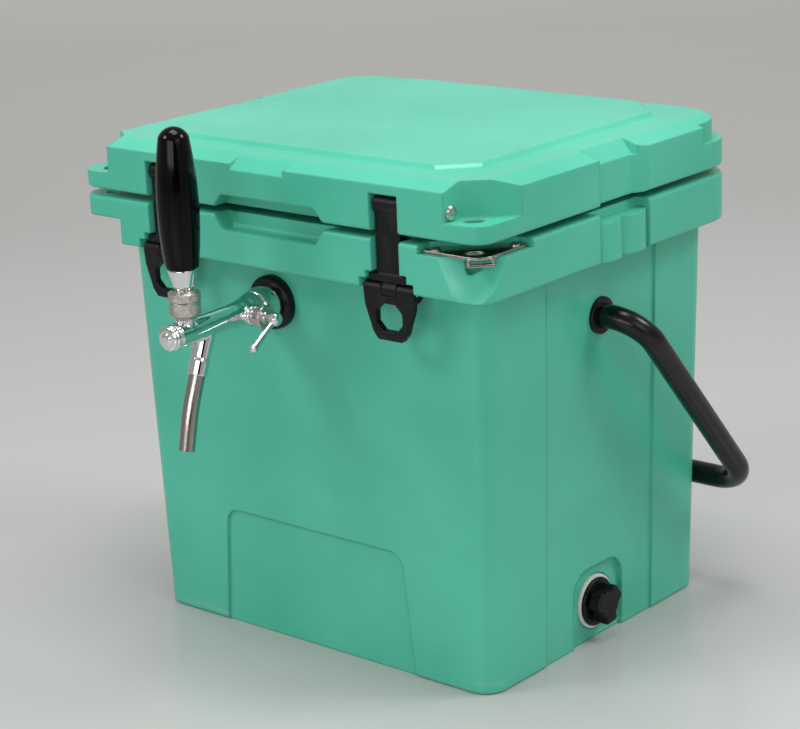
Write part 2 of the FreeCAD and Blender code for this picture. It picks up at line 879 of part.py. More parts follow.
def plug_outline(inset, z):
    gap = wall + plug_clearance + inset
    return inner_outline_at(z, gap)


def inner_outline_at(z, inset):
    half_width = body_half_width(rim_top) - inset
    half_depth = body_half_depth(rim_top) - inset
    radius = cavity_radius - plug_clearance
    return outline(half_width, half_depth, half_depth, radius, radius, z)


def lid_plug(inset, bottom, top):
    lower = plug_outline(inset + 3, bottom)
    upper = plug_outline(inset, top)
    return Part.makeLoft([lower, upper], True, True)


def gasket_ring(bottom, top):
    inner = prism(inner_outline_at(bottom, wall - gasket_margin), top - bottom)
    outer_inset = wall - gasket_margin - gasket_width
    half_width = body_half_width(rim_top) - outer_inset
    half_depth = body_half_depth(rim_top) - outer_inset
    radius = cavity_radius + gasket_width
    outer = prism(outline(half_width, half_depth, half_depth, radius, radius, bottom), top - bottom)
    return outer.cut(inner)


def lid_solid():
    solid = lid_outside()
    for side in (-1, 1):
        solid = cut_all(solid, [corner_notch(side, 0), back_notch(side), lid_slot_cut(side, 0),
                                padlock_hole(side, 0, lid_bottom - 1, notch_floor + 3)])
    solid = cut_all(solid, both_sides(lid_hold_cut(0)))
    solid = cut_all(solid, [grab_cut(lid_bottom, grab_lid_height, 0), bevel_notch_cut()])
    solid = solid.fuse(lid_plug(0, rim_top - plug_depth, lid_bottom + 1))
    solid = solid.cut(gasket_ring(lid_bottom - 1, lid_bottom + gasket_groove))
    for lug in hinge_lugs():
        solid = solid.fuse(lug)
    solid = solid.cut(cylinder(hinge_rod_radius + hinge_running_gap,
                               vector(-rim_half, hinge_y, hinge_z), x_axis, rim_width))
    for side in (-1, 1):
        solid = solid.cut(latch_pin_bore(side))
    return solid.removeSplitter()


def latch_pin_bore(side):
    start = vector(side * (latch_pin_end_x - 0.1), -latch_pin_y, latch_pin_z)
    return cylinder(latch_pin_radius + hinge_running_gap, start, x_axis * side, rim_half)


def lid_foam():
    """The insulation inside the lid."""
    inset = 2 * skin
    bottom = lid_bottom + gasket_groove + skin
    top = lid_top - skin
    foam = prism(outline(rim_half - inset - 3, rim_front - inset - 3, rim_back - inset, rim_front_radius,
                         rim_back_radius - skin, bottom), lid_side_top - bottom - skin)
    panel = prism(panel_wire(panel_slope + skin, lid_side_top - skin - 1), top - lid_side_top + skin + 1)
    foam = foam.fuse(panel)
    foam = foam.fuse(lid_plug(skin, rim_top - plug_depth + skin, bottom + 1))
    for side in (-1, 1):
        foam = cut_all(foam, [corner_notch(side, skin), lid_slot_cut(side, skin),
                              padlock_hole(side, skin, lid_bottom, notch_floor)])
        foam = foam.cut(cylinder(latch_pin_radius + skin, vector(side * 80, -latch_pin_y, latch_pin_z),
                                 x_axis * side, rim_half))
    foam = cut_all(foam, both_sides(lid_hold_cut(skin)))
    foam = foam.cut(grab_cut(lid_bottom, grab_lid_height + skin, skin))
    return max(foam.Solids, key=lambda piece: piece.Volume)


def latch_strap(side):
    middle = side * latch_x
    eye_start = vector(middle - strap_half_width, -latch_pin_y, latch_pin_z)
    eye = cylinder(strap_eye_radius, eye_start, x_axis, 2 * strap_half_width)
    half_thick = strap_thickness / 2
    shoulder_top = slot_step_one_top - latch_rise_gap
    shoulder_bottom = shoulder_top - strap_shoulder_height
    strap = block((middle - strap_half_width, -latch_pin_y - half_thick, shoulder_bottom),
                  (middle + strap_half_width, -latch_pin_y + half_thick, latch_pin_z))
    shoulder = block((middle - strap_shoulder_half, -latch_pin_y - half_thick - 1.5, shoulder_bottom),
                     (middle + strap_shoulder_half, -latch_pin_y + half_thick, shoulder_top))
    knuckle = cylinder(knuckle_radius, vector(middle - knuckle_half_width, -latch_pin_y, tab_pin_z()),
                       x_axis, 2 * knuckle_half_width)
    web = block((middle - knuckle_half_width, -latch_pin_y - half_thick, tab_pin_z()),
                (middle + knuckle_half_width, -latch_pin_y + half_thick, shoulder_bottom + 1))
    solid = joined([strap, eye, shoulder, knuckle, web])
    pin_hole = cylinder(latch_pin_radius + hinge_running_gap,
                        vector(middle - 20, -latch_pin_y, latch_pin_z), x_axis, 40)
    lower_hole = cylinder(latch_tab_pin_radius() + hinge_running_gap,
                          vector(middle - 20, -latch_pin_y, tab_pin_z()), x_axis, 40)
    return cut_all(solid, [pin_hole, lower_hole])


def tab_pin_z():
    """The tab's ears sit just under the strap's shoulder."""
    shoulder_bottom = slot_step_one_top - latch_rise_gap - strap_shoulder_height
    return shoulder_bottom - part_gap - knuckle_radius


def latch_tab_pin_radius():
    return latch_pin_radius - 0.5


def latch_tab(side):
    middle = side * latch_x
    top = tab_pin_z()
    front = -latch_pin_y - knuckle_radius
    ears = []
    for end in (-1, 1):
        inner = knuckle_half_width + part_gap
        start = vector(middle + end * inner, -latch_pin_y, top)
        ears.append(cylinder(knuckle_radius, start, x_axis * end, tab_half_top - inner))
    low = top - tab_length
    bevel = 6
    wire = polygon([vector(middle - tab_half_top, front, top), vector(middle + tab_half_top, front, top),
                    vector(middle + tab_half_top - 1, front, top - 12),
                    vector(middle + tab_half_base + 2, front, low + bevel),
                    vector(middle + tab_half_base - 3, front, low), vector(middle - tab_half_base + 3, front, low),
                    vector(middle - tab_half_base - 2, front, low + bevel),
                    vector(middle - tab_half_top + 1, front, top - 12)])
    plate = prism(wire, tab_thickness, y_axis)
    clear = knuckle_radius + part_gap
    room = cylinder(clear, vector(middle - knuckle_half_width - part_gap, -latch_pin_y, top), x_axis,
                    2 * (knuckle_half_width + part_gap))
    centre = vector(middle, front - 1, low + tab_hole_from_end + tab_hole_height / 2)
    cut = 6.5
    half = tab_hole_half_width
    tall = tab_hole_height / 2
    corners = [(half, cut - tall), (half, tall - cut), (half - cut, tall), (cut - half, tall),
               (-half, tall - cut), (-half, cut - tall), (cut - half, -tall), (half - cut, -tall)]
    hole = prism(polygon([centre + vector(x, 0, z) for x, z in corners]), tab_thickness + 2, y_axis)
    solid = joined([plate] + ears)
    pin = cylinder(latch_tab_pin_radius() + hinge_running_gap,
                   vector(middle - 30, -latch_pin_y, top), x_axis, 60)
    return cut_all(solid, [room, hole, pin])


def latch_tab_pin(side):
    start = vector(side * latch_x - tab_half_top + 1, -latch_pin_y, tab_pin_z())
    return cylinder(latch_tab_pin_radius(), start, x_axis, 2 * tab_half_top - 2)


def latch_pin(side):
    start = vector(side * latch_pin_end_x, -latch_pin_y, latch_pin_z)
    shaft = cylinder(latch_pin_radius, start, x_axis * side, notch_wall_x - latch_pin_end_x + 0.5)
    head = turned([(0, latch_pin_head_radius), (1.2, latch_pin_head_radius), (2.4, 0.8 * latch_pin_head_radius),
                   (latch_pin_head_height, 0.35 * latch_pin_head_radius)],
                  vector(side * notch_wall_x, -latch_pin_y, latch_pin_z), x_axis * side)
    return shaft.fuse(head).removeSplitter()


def lock_plate():
    plate = prism(plate_outline(plate_level), plate_thickness)
    plate = plate.cut(padlock_hole(1, 0, plate_level - 1, 20))
    diagonal = vector(1, -1, 0).normalize()
    along = vector(1, 1, 0).normalize()
    corner = rim_half - plate_inset - plate_corner_radius * (1 - math.sqrt(0.5))
    edge = vector(corner, -rim_front + rim_half - corner, plate_level)
    half = opener_width / 2
    wire = polygon([edge - along * half - diagonal * 3.4, edge + along * half - diagonal * 3.4,
                    edge + along * (half - 2) + diagonal * 1.6, edge - along * (half - 2) + diagonal * 1.6])
    lip = prism(wire, opener_thickness)
    lip.translate(vector(0, 0, -opener_drop))
    posts = []
    for end in (-1, 1):
        foot = edge + along * (end * (half - 3)) - diagonal * 2.7 - z_axis * opener_drop
        posts.append(cylinder(1.4, foot, z_axis, opener_drop + 0.5))
    return joined([plate, lip] + posts)


def plate_screws():
    screws = []
    inset = 9.0
    for x, y in ((rim_half - plate_inset - plate_span + inset, -rim_front + plate_inset + 5.5),
                 (rim_half - plate_inset - 5.5, -rim_front + plate_inset + plate_span - inset)):
        base = vector(x, y, plate_level + plate_thickness)
        screws.append(turned([(0, plate_screw_radius), (0.8, plate_screw_radius),
                              (plate_screw_height, 0.5 * plate_screw_radius)], base, z_axis))
    return screws


def hinge_rod():
    start = vector(-hinge_rod_half_length, hinge_y, hinge_z)
    return cylinder(hinge_rod_radius, start, x_axis, 2 * hinge_rod_half_length)


def hinge_rod_plug(shell):
    start = vector(-hinge_plug_x, hinge_y, hinge_z)
    return cylinder(hinge_plug_radius - 0.05, start, x_axis * -1, hinge_plug_length)


def bail_points():
    drop = math.radians(bail_drop_angle)
    bar_z = bail_pivot_z - bail_bar_y * math.tan(drop)
    return [vector(bail_end_x, 0, bail_pivot_z), vector(bail_arm_x, 0, bail_pivot_z),
            vector(bail_arm_x, bail_bar_y, bar_z), vector(-bail_arm_x, bail_bar_y, bar_z),
            vector(-bail_arm_x, 0, bail_pivot_z), vector(-bail_end_x, 0, bail_pivot_z)]


def carry_handle():
    radii = [bail_elbow_radius, bail_corner_radius, bail_corner_radius, bail_elbow_radius]
    wire = routed_wire(bail_points(), radii)
    return hollow_sweep(wire, bail_tube_radius, bail_tube_radius - bail_tube_wall)


def handle_bush(cooler):
    face = body_half_width(bail_pivot_z) - side_panel_depth
    start = vector(bail_end_x - 4, 0, bail_pivot_z)
    sleeve = cylinder(bush_radius - hinge_running_gap, start, x_axis, face + bush_flange_thickness - start.x)
    flange = cylinder(bush_flange_radius, vector(face - 3, 0, bail_pivot_z), x_axis, 3 + bush_flange_thickness)
    outer = [edge for edge in flange.Edges if abs(edge.CenterOfMass.x - face - bush_flange_thickness) < 0.01]
    flange = flange.makeFillet(1.2, outer)
    bore = cylinder(bail_tube_radius + bush_running_gap, vector(bail_end_x - 1, 0, bail_pivot_z), x_axis, reach)
    solid = sleeve.fuse(flange).removeSplitter().cut(bore)
    return solid.cut(cooler)


def drain_face():
    return body_half_width(drain_z) - side_panel_depth - drain_recess_depth - drain_pocket_depth


def drain_seal():
    start = vector(drain_face(), drain_y, drain_z)
    return tube(drain_seal_radius, drain_tube_radius + hinge_running_gap, start, x_axis, drain_seal_thickness)


def drain_body():
    front = drain_face() + drain_seal_thickness
    stem = cylinder(drain_tube_radius, vector(drain_tube_end_x, drain_y, drain_z), x_axis,
                    front - drain_tube_end_x)
    flange = cylinder(drain_flange_radius, vector(front, drain_y, drain_z), x_axis, drain_flange_thickness)
    outer = [edge for edge in flange.Edges if edge.CenterOfMass.x > front + drain_flange_thickness - 0.01]
    flange = flange.makeFillet(1.5, outer)
    bore = cylinder(drain_bore_radius, vector(drain_tube_end_x - 1, drain_y, drain_z), x_axis, 2 * reach)
    return stem.fuse(flange).removeSplitter().cut(bore)


def drain_nut():
    inner_wall = body_half_width(drain_z) - wall
    start = vector(inner_wall - drain_nut_thickness - 0.3, drain_y, drain_z)
    nut = hexagon(drain_nut_radius, start, x_axis, drain_nut_thickness)
    return nut.cut(cylinder(drain_tube_radius + hinge_running_gap, start - x_axis, x_axis, 40))


def drain_cap_base():
    return drain_face() + drain_seal_thickness + drain_flange_thickness + drain_ring_thickness


def drain_ring():
    start = vector(drain_cap_base() - drain_ring_thickness, drain_y, drain_z)
    return tube(drain_ring_radius, drain_spigot_radius + hinge_running_gap, start, x_axis, drain_ring_thickness)


def drain_cap():
    """A round knob with three squared grips, on a spigot that closes the bore."""
    base = drain_cap_base()
    centre = vector(base, drain_y, drain_z)
    parts = [cylinder(drain_cap_radius, centre, x_axis, drain_cap_height)]
    half = drain_cap_lobe_width / 2
    for k in range(drain_cap_lobes):
        grip = block((base, 0, -half), (base + drain_cap_height, drain_cap_lobe_reach, half))
        corners = [edge for edge in grip.Edges
                   if edge.BoundBox.XLength > 1 and edge.CenterOfMass.y > drain_cap_lobe_reach - 0.1]
        grip = grip.makeFillet(3.0, corners)
        grip.rotate(vector(0, 0, 0), x_axis, drain_cap_first_lobe + 360 * k / drain_cap_lobes)
        grip.translate(vector(0, drain_y, drain_z))
        parts.append(grip)
    knob = joined(parts)
    outer = [edge for edge in knob.Edges if edge.CenterOfMass.x > base + drain_cap_height - 0.01]
    knob = knob.makeFillet(1.4, outer)
    spigot = cylinder(drain_spigot_radius, centre - x_axis * drain_spigot_length, x_axis, drain_spigot_length)
    return joined([knob, spigot])


def front_slope():
    """How far the front wall leans from upright, in degrees."""
    return math.degrees(math.atan((body_depth - base_depth) / 2 / rim_bottom))


def tap_foot():
    return vector(tap_x, -body_half_depth(tap_z), tap_z)


def tilted(shape):
    """Turn a tap part built level so that it stands square to the front wall."""
    turned_shape = shape.copy()
    turned_shape.rotate(tap_foot(), x_axis, front_slope())
    return turned_shape


def tilted_point(point):
    turn = FreeCAD.Rotation(x_axis, front_slope())
    return tap_foot() + turn.multVec(point - tap_foot())


def tilted_direction(direction):
    return FreeCAD.Rotation(x_axis, front_slope()).multVec(direction)


def lever_pivot():
    return vector(tap_x, -lever_y, ball_z)


def upright(shape):
    """Carry a lever part to the tilted pivot without leaning it."""
    moved = shape.copy()
    moved.translate(tilted_point(lever_pivot()) - lever_pivot())
    return moved


def tap_wall_flange(cooler):
    back = -body_half_depth(tap_z) + 1
    start = vector(tap_x, -tap_flange_front, tap_z)
    flange = cylinder(tap_flange_radius, start, y_axis, tap_flange_front + back)
    outer = [edge for edge in flange.Edges if abs(edge.CenterOfMass.y + tap_flange_front) < 0.01]
    flange = flange.makeFillet(3.0, outer)
    hole = cylinder(shank_radius + hinge_running_gap, start - y_axis, y_axis, 40)
    return tilted(flange.cut(hole)).cut(cooler)


def shank():
    start = vector(tap_x, -shank_front, tap_z)
    solid = tube(shank_radius, shank_bore_radius, start, y_axis, shank_front - shank_inner_end)
    return solid


def inner_front_wall():
    return -(body_half_depth(tap_z) - wall)


def shank_washer(cooler):
    start = vector(tap_x, inner_front_wall() - 1.2, tap_z)
    ring = tube(shank_washer_radius, shank_radius + hinge_running_gap, start, y_axis,
                shank_washer_thickness + 1.2)
    return tilted(ring).cut(cooler)


def shank_nut():
    start = vector(tap_x, inner_front_wall() + shank_washer_thickness, tap_z)
    nut = hexagon(shank_nut_radius, start, y_axis, shank_nut_thickness)
    return nut.cut(cylinder(shank_radius + hinge_running_gap, start - y_axis, y_axis, 30))


def tailpiece_seal():
    start = vector(tap_x, -shank_inner_end, tap_z)
    return tube(tail_flange_radius, tail_bore_radius + 0.5, start, y_axis, 1.5)


def tailpiece():
    start = -shank_inner_end + 1.5
    base = tail_flange_thickness
    points = [(0, tail_flange_radius), (base, tail_flange_radius), (base, tail_barb_radius - 0.4)]
    step = (tail_barb_length - base) / 4
    for k in range(4):
        points.append((base + step * (k + 0.35), tail_barb_radius - 0.6))
        points.append((base + step * (k + 0.4), tail_barb_radius - 0.6 - 0.2 * (k == 3)))
    points.append((tail_barb_length, tail_barb_radius - 1.1))
    centre = vector(tap_x, start, tap_z)
    solid = turned(points, centre, y_axis)
    return solid.cut(cylinder(tail_bore_radius, centre - y_axis, y_axis, 60))


def tailpiece_nut():
    front = -shank_inner_end - 5
    centre = vector(tap_x, front, tap_z)
    nut = hexagon(tail_nut_radius, centre, y_axis, tail_nut_thickness)
    wide = cylinder(shank_radius + hinge_running_gap, centre - y_axis, y_axis,
                    1 + 5 + 1.5 + tail_flange_thickness + part_gap)
    narrow = cylinder(tail_barb_radius + 0.4, centre, y_axis, 30)
    return cut_all(nut, [wide, narrow])


def coupling_collar():
    """The coupling ring with spanner holes; its front lip traps the tap's back flange."""
    back = tap_flange_front + part_gap
    centre = vector(tap_x, -back, tap_z)
    solid = turned([(0, collar_radius - 0.6), (0.6, collar_radius), (collar_length - 5, collar_radius - 0.6),
                    (collar_length - 1, collar_radius - 2), (collar_length, collar_radius - 3)],
                   centre, y_axis * -1)
    wide = shank_front + part_gap + faucet_lip_length + 0.1 - back
    bore = cylinder(shank_radius + hinge_running_gap, centre + y_axis, y_axis * -1, 1 + wide)
    front = cylinder(faucet_back_radius + hinge_running_gap, centre + y_axis, y_axis * -1, 60)
    holes = []
    for k in range(4):
        angle = math.radians(45 + 90 * k)
        outward = vector(math.cos(angle), 0, math.sin(angle))
        holes.append(cylinder(1.6, centre - y_axis * 5 + outward * (collar_radius - 3.5), outward, 8))
    return cut_all(solid, [bore, front] + holes)


def faucet_start():
    return shank_front + part_gap


def socket_top():
    return vector(tap_x, -socket_y, tap_z)


def faucet_body():
    """A barrel with a trumpet-shaped back, an upright neck, a side boss and the spout socket."""
    start = faucet_start()
    centre = vector(tap_x, -start, tap_z)
    lip = faucet_lip_length
    neck = faucet_neck_length
    barrel = turned([(0, faucet_lip_radius), (lip, faucet_lip_radius), (lip, faucet_back_radius),
                     (neck, faucet_back_radius), (neck, 14.0), (neck + 2.5, 14.4), (neck + 6, 13.2),
                     (neck + 11, 11.8), (neck + 19, 10.6), (neck + 29, 9.9), (neck + 43, 9.5),
                     (neck + 57, 9.6), (neck + 72, 9.9), (faucet_nose - start - 3, 10.2),
                     (faucet_nose - start - 2, 9.6), (faucet_nose - start, 9.6)], centre, y_axis * -1)
    top = bonnet_base_z - tap_z
    upper = turned([(0, 9.2), (top - 4.5, 8.4), (top - 2.5, 7.9), (top - 1.2, 8.6), (top, 9.4)],
                   vector(tap_x, -lever_y, tap_z), z_axis)
    end = flow_boss_start_x - tap_x
    side = turned([(0, 7.6), (end - 4, 7.6), (end - 2, 8.6), (end, 8.6)], vector(tap_x, -flow_y, tap_z), x_axis)
    tilt = spout_direction(spout_first_tilt)
    socket = turned([(0, 8.6), (12, 8.4), (socket_length - 14, 7.8), (socket_length - 12, socket_radius),
                     (socket_length, socket_radius - 0.3)], socket_top(), tilt)
    solid = joined([barrel, upper, side, socket])
    throat = cylinder(faucet_throat_radius, vector(tap_x, -faucet_nose + 3, tap_z), y_axis,
                      faucet_nose - 3 - start + 1)
    rear = cylinder(faucet_bore_radius, centre + y_axis, y_axis * -1, 1 + valve_seat_y - start)
    nose = cylinder(faucet_throat_radius - 1, vector(tap_x, -faucet_nose - 1, tap_z), y_axis, 8)
    seat = Part.makeSphere(ball_radius + ball_gap, lever_pivot())
    room = lever_tip_radius + 0.5
    lean = (ball_z - tap_z) * math.tan(math.radians(lever_swing + 1))
    profile = polygon([vector(tap_x - room, -lever_y - room, tap_z), vector(tap_x - room, -lever_y - room, ball_z),
                       vector(tap_x - room, -lever_y + room, ball_z),
                       vector(tap_x - room, -lever_y + room + lean, tap_z)])
    well = prism(profile, 2 * room, x_axis)
    outlet = cylinder(spout_tube_radius - spout_tube_wall, socket_top() + tilt * 3, tilt, 60)
    tube_seat = cylinder(spout_tube_radius + hinge_running_gap, socket_top() + tilt * socket_tube_depth, tilt, 60)
    side_bore = cylinder(flow_shaft_radius + 1, vector(tap_x, -flow_y, tap_z), x_axis, 60)
    return cut_all(solid, [throat, rear, nose, seat, well, outlet, tube_seat, side_bore])


def spout_direction(tilt):
    angle = math.radians(tilt)
    return vector(0, -math.sin(angle), -math.cos(angle))


def nose_cap():
    """The turned end cap of the barrel, stepped down in rings."""
    centre = vector(tap_x, -faucet_nose - 0.05, tap_z)
    length = nose_cap_end - faucet_nose - 0.05
    return turned([(0, 9.8), (0.6, 10.2), (2.6, 10.2), (3.2, 9.2), (3.8, 9.2), (4.4, 9.9), (5.6, 9.7),
                   (6.6, 8.8), (7.2, 7.6), (7.2, 4.6), (8.0, 4.0), (length, 2.4)], centre, y_axis * -1)


def spout_tube():
    first = spout_direction(spout_first_tilt)
    last = spout_direction(spout_last_tilt)
    start = socket_top() + first * (socket_tube_depth + 0.2)
    bend = socket_top() + first * (socket_length + spout_run)
    end = bend + last * (spout_run + 4.5)
    wire = routed_wire([start, bend, end], [200.0])
    return hollow_sweep(wire, spout_tube_radius, spout_tube_radius - spout_tube_wall)


def bonnet():
    """The knurled nut that holds the lever's ball; it tapers in below."""
    base = vector(tap_x, -lever_y, bonnet_base_z + 0.05)
    solid = turned([(0, 9.6), (1.4, 10.0), (3.6, bonnet_radius), (bonnet_height - 0.8, bonnet_radius),
                    (bonnet_height, bonnet_top_radius)], base, z_axis)
    room = Part.makeSphere(ball_radius + ball_gap, lever_pivot())
    rise = bonnet_base_z + bonnet_height + 0.2 - ball_z - 3
    mouth = Part.makeCone(5.3, 9.6, rise, lever_pivot() + z_axis * 3, z_axis)
    well = cylinder(ball_radius + ball_gap, base - z_axis, z_axis, ball_z - base.z + 1)
    return cut_all(solid, [room, mouth, well])


def lever():
    """The tap lever: a stem with a ball, and a tip that reaches down into the valve shaft."""
    pivot = lever_pivot()
    foot = pivot - z_axis * lever_tip_reach
    ball = Part.makeSphere(ball_radius, pivot)
    tip = cylinder(lever_tip_radius, foot, z_axis, lever_tip_reach)
    tip_end = Part.makeSphere(lever_tip_radius, foot)
    stem = cylinder(lever_stem_radius, pivot, z_axis, lever_stem_top - ball_z)
    return joined([ball, tip, tip_end, stem])


def knurled_ring():
    """The knurled ring under the handle, cupped over the bonnet so that it can tip."""
    base = vector(tap_x, -lever_y, ring_bottom_z)
    solid = turned([(0, ring_radius), (ring_height - 2.6, ring_radius), (ring_height, ring_radius - 3.4)],
                   base, z_axis)
    cup = Part.makeSphere(lever_cup_radius, lever_pivot())
    return cut_all(solid, [cylinder(lever_stem_radius, base - z_axis, z_axis, 30), cup])


def ferrule():
    base = vector(tap_x, -lever_y, ring_bottom_z + ring_height)
    solid = turned([(0, ferrule_base_radius - 0.8), (0.8, ferrule_base_radius),
                    (ferrule_height - 1, ferrule_top_radius), (ferrule_height, ferrule_top_radius - 0.4)],
                   base, z_axis)
    return solid.cut(cylinder(lever_stem_radius, base - z_axis, z_axis, 60))


def tap_handle():
    """A tall turned handle that swells to its middle, with a round top."""
    base = ring_bottom_z + ring_height + ferrule_height
    shoulder_height = handle_height - handle_crown
    stations = ((0.0, handle_base_radius), (handle_full_height, handle_full_radius),
                (0.76 * handle_height, 14.5), (shoulder_height, handle_top_radius))
    side = Part.BSplineCurve()
    side.interpolate([vector(radius, 0, height) for height, radius in stations])
    crown_radius = (handle_top_radius ** 2 + handle_crown ** 2) / (2 * handle_crown)
    crown_centre = handle_height - crown_radius
    start_angle = math.atan2(shoulder_height - crown_centre, handle_top_radius)
    middle_angle = (start_angle + math.pi / 2) / 2
    middle = vector(crown_radius * math.cos(middle_angle), 0, crown_centre + crown_radius * math.sin(middle_angle))
    shoulder = vector(handle_top_radius, 0, shoulder_height)
    top = vector(0, 0, handle_height)
    foot = vector(handle_base_radius, 0, 0)
    edges = [side.toShape(), Part.Arc(shoulder, middle, top).toShape(),
             Part.LineSegment(top, vector(0, 0, 0)).toShape(), Part.LineSegment(vector(0, 0, 0), foot).toShape()]
    solid = Part.Face(Part.Wire(edges)).revolve(vector(0, 0, 0), z_axis, 360)
    solid.translate(vector(tap_x, -lever_y, base))
    return solid.cut(cylinder(lever_stem_radius, vector(tap_x, -lever_y, base - 1), z_axis,
                              1 + lever_stem_top - base))


def valve_shaft():
    """The rod that the lever's tip pushes back, away from its seat."""
    slot = lever_tip_radius + 1.9
    room = lever_tip_radius + 0.4
    front = cylinder(valve_shaft_radius, vector(tap_x, -lever_y - 8, tap_z), y_axis, 16)
    stem = cylinder(valve_stem_radius, vector(tap_x, -lever_y, tap_z), y_axis,
                    lever_y - valve_seat_y + valve_seal_thickness + 1.5)
    solid = front.fuse(stem).removeSplitter()
    return solid.cut(block((tap_x - room, -lever_y - slot, tap_z - 3.2), (tap_x + room, -lever_y + slot, tap_z + 9)))


def valve_seal():
    start = vector(tap_x, -valve_seat_y, tap_z)
    return tube(valve_seal_radius, valve_stem_radius, start, y_axis, valve_seal_thickness)


def flow_nut():
    """The side nut that holds the flow lever's shaft, flared towards the lever."""
    centre = vector(flow_boss_start_x + 0.05, -flow_y, tap_z)
    length = flow_boss_end_x - flow_boss_start_x - 0.05
    wide = flow_boss_radius
    solid = turned([(0, wide - 1.6), (1.5, wide - 0.6), (3.5, wide - 0.8), (length - 4, wide + 0.6),
                    (length - 2.6, wide + 1.2), (length - 1.6, wide + 0.6), (length - 1.6, wide - 3.4),
                    (length, wide - 4)], centre, x_axis)
    return solid.cut(cylinder(flow_shaft_radius + 0.1, centre - x_axis, x_axis, 40))


def flow_lever():
    """A shaft with a pin inside the tap, and a round hub with a paddle-ended rod outside."""
    centre = vector(flow_boss_end_x + part_gap, -flow_y, tap_z)
    hub = turned([(0, 3.4), (2.0, 3.4), (3.2, flow_hub_radius - 1), (5.0, flow_hub_radius),
                  (9.0, flow_hub_radius), (10.8, flow_hub_radius - 1.2), (11.6, flow_hub_radius - 3)],
                 centre, x_axis)
    inner = tap_x + 2.5
    shaft = cylinder(flow_shaft_radius, vector(inner + 3.9, -flow_y, tap_z), x_axis, centre.x + 1 - inner - 3.9)
    pin = cylinder(flow_pin_radius, vector(inner, -flow_y, tap_z - flow_pin_offset), x_axis, 4.4)
    angle = math.radians(flow_rod_angle)
    direction = vector(0, -math.cos(angle), -math.sin(angle))
    length = flow_rod_length
    rod = turned([(0, flow_rod_radius), (length - 9, flow_rod_radius + 0.5), (length - 5, flow_rod_tip_radius),
                  (length - 2, flow_rod_tip_radius), (length - 0.6, flow_rod_tip_radius - 1.2),
                  (length, flow_rod_tip_radius - 2.4)], centre + x_axis * 7, direction)
    return joined([hub, shaft, pin, rod])


def compensator():
    """The tapered plug that the flow lever's pin moves along the bore."""
    centre = vector(tap_x, -flow_y - 6, tap_z)
    cone = turned([(0, 2.0), (1.5, 3.0), (9.0, 5.6), (13.0, 5.6), (13.0, 4.4), (16.0, 4.4)], centre, y_axis)
    room = flow_pin_radius + 0.3
    return cone.cut(block((tap_x - 0.1, -flow_y - room, tap_z - 7), (tap_x + 7, -flow_y + room, tap_z + 7)))


def arc_between(start, direction, end):
    """An arc from a point, along a direction, to another point."""
    chord = end - start
    along = vector(chord).normalize()
    lean = direction.getAngle(chord)
    side = (direction - along * direction.dot(along)).normalize()
    middle = start + chord * 0.5 + side * (chord.Length / 2 * math.tan(lean / 2))
    return Part.Arc(start, middle, end).toShape()


def helix_point(angle):
    climb = coil_pitch * angle / (2 * math.pi)
    return vector(coil_mean_radius * math.cos(angle), coil_mean_radius * math.sin(angle), coil_base_z + climb)


def helix_direction(angle):
    rise = coil_pitch / (2 * math.pi)
    return vector(-coil_mean_radius * math.sin(angle), coil_mean_radius * math.cos(angle), rise).normalize()


def helix_edges():
    """Half turns, each drawn as two arcs that meet on one tangent."""
    edges = []
    for k in range(2 * coil_turns):
        start = helix_point(math.pi * k)
        end = helix_point(math.pi * (k + 1))
        leave = helix_direction(math.pi * k)
        arrive = helix_direction(math.pi * (k + 1))
        gap = end - start
        both = leave + arrive
        a = 2 * (leave.dot(arrive) - 1)
        b = -2 * gap.dot(both)
        c = gap.dot(gap)
        reach_in = (-b - math.sqrt(b * b - 4 * a * c)) / (2 * a)
        middle = (start + leave * reach_in + end - arrive * reach_in) * 0.5
        edges.append(arc_between(start, leave, middle))
        direction = (end - arrive * reach_in - middle).normalize()
        edges.append(arc_between(middle, direction, end))
    return edges


def riser_place():
    """Plan position of the pipe that rises inside the coil."""
    turn = math.radians(coil_turn_in_angle)
    centre_x = coil_mean_radius - coil_turn_in_radius
    heading = vector(-math.sin(turn), -math.cos(turn), 0)
    bend_start = vector(centre_x + coil_turn_in_radius * math.cos(turn),
                        -coil_turn_in_radius * math.sin(turn), coil_base_z)
    return bend_start, heading, bend_start + heading * coil_riser_bend


def inlet_x():
    return riser_place()[2].x


def coil_wire():
    bend_start, heading, riser = riser_place()
    centre_x = coil_mean_radius - coil_turn_in_radius
    half_turn = math.radians(coil_turn_in_angle) / 2
    turn_in = Part.Arc(bend_start, vector(centre_x + coil_turn_in_radius * math.cos(half_turn),
                                          -coil_turn_in_radius * math.sin(half_turn), coil_base_z),
                       vector(coil_mean_radius, 0, coil_base_z)).toShape()
    top = vector(riser.x, riser.y, coil_riser_top)
    riser_foot = vector(riser.x, riser.y, coil_base_z + coil_riser_bend)
    ease = coil_riser_bend * (1 - math.sqrt(0.5))
    bend_middle = vector(riser.x, riser.y, coil_base_z) - heading * ease + z_axis * ease
    edges = [Part.LineSegment(top, riser_foot).toShape(),
             Part.Arc(riser_foot, bend_middle, bend_start).toShape(), turn_in]
    edges += helix_edges()
    end = helix_point(2 * math.pi * coil_turns)
    leave = helix_direction(2 * math.pi * coil_turns)
    rising = math.radians(coil_lift_angle)
    lifted = vector(0, math.cos(rising), math.sin(rising))
    corner = end + leave * (6 + coil_lift_radius * math.tan(rising / 2))
    straight = routed_wire([end, corner, corner + lifted * (coil_lift_run + 6)], [coil_lift_radius])
    edges += straight.Edges
    return Part.Wire(edges), corner + lifted * (coil_lift_run + 6), lifted


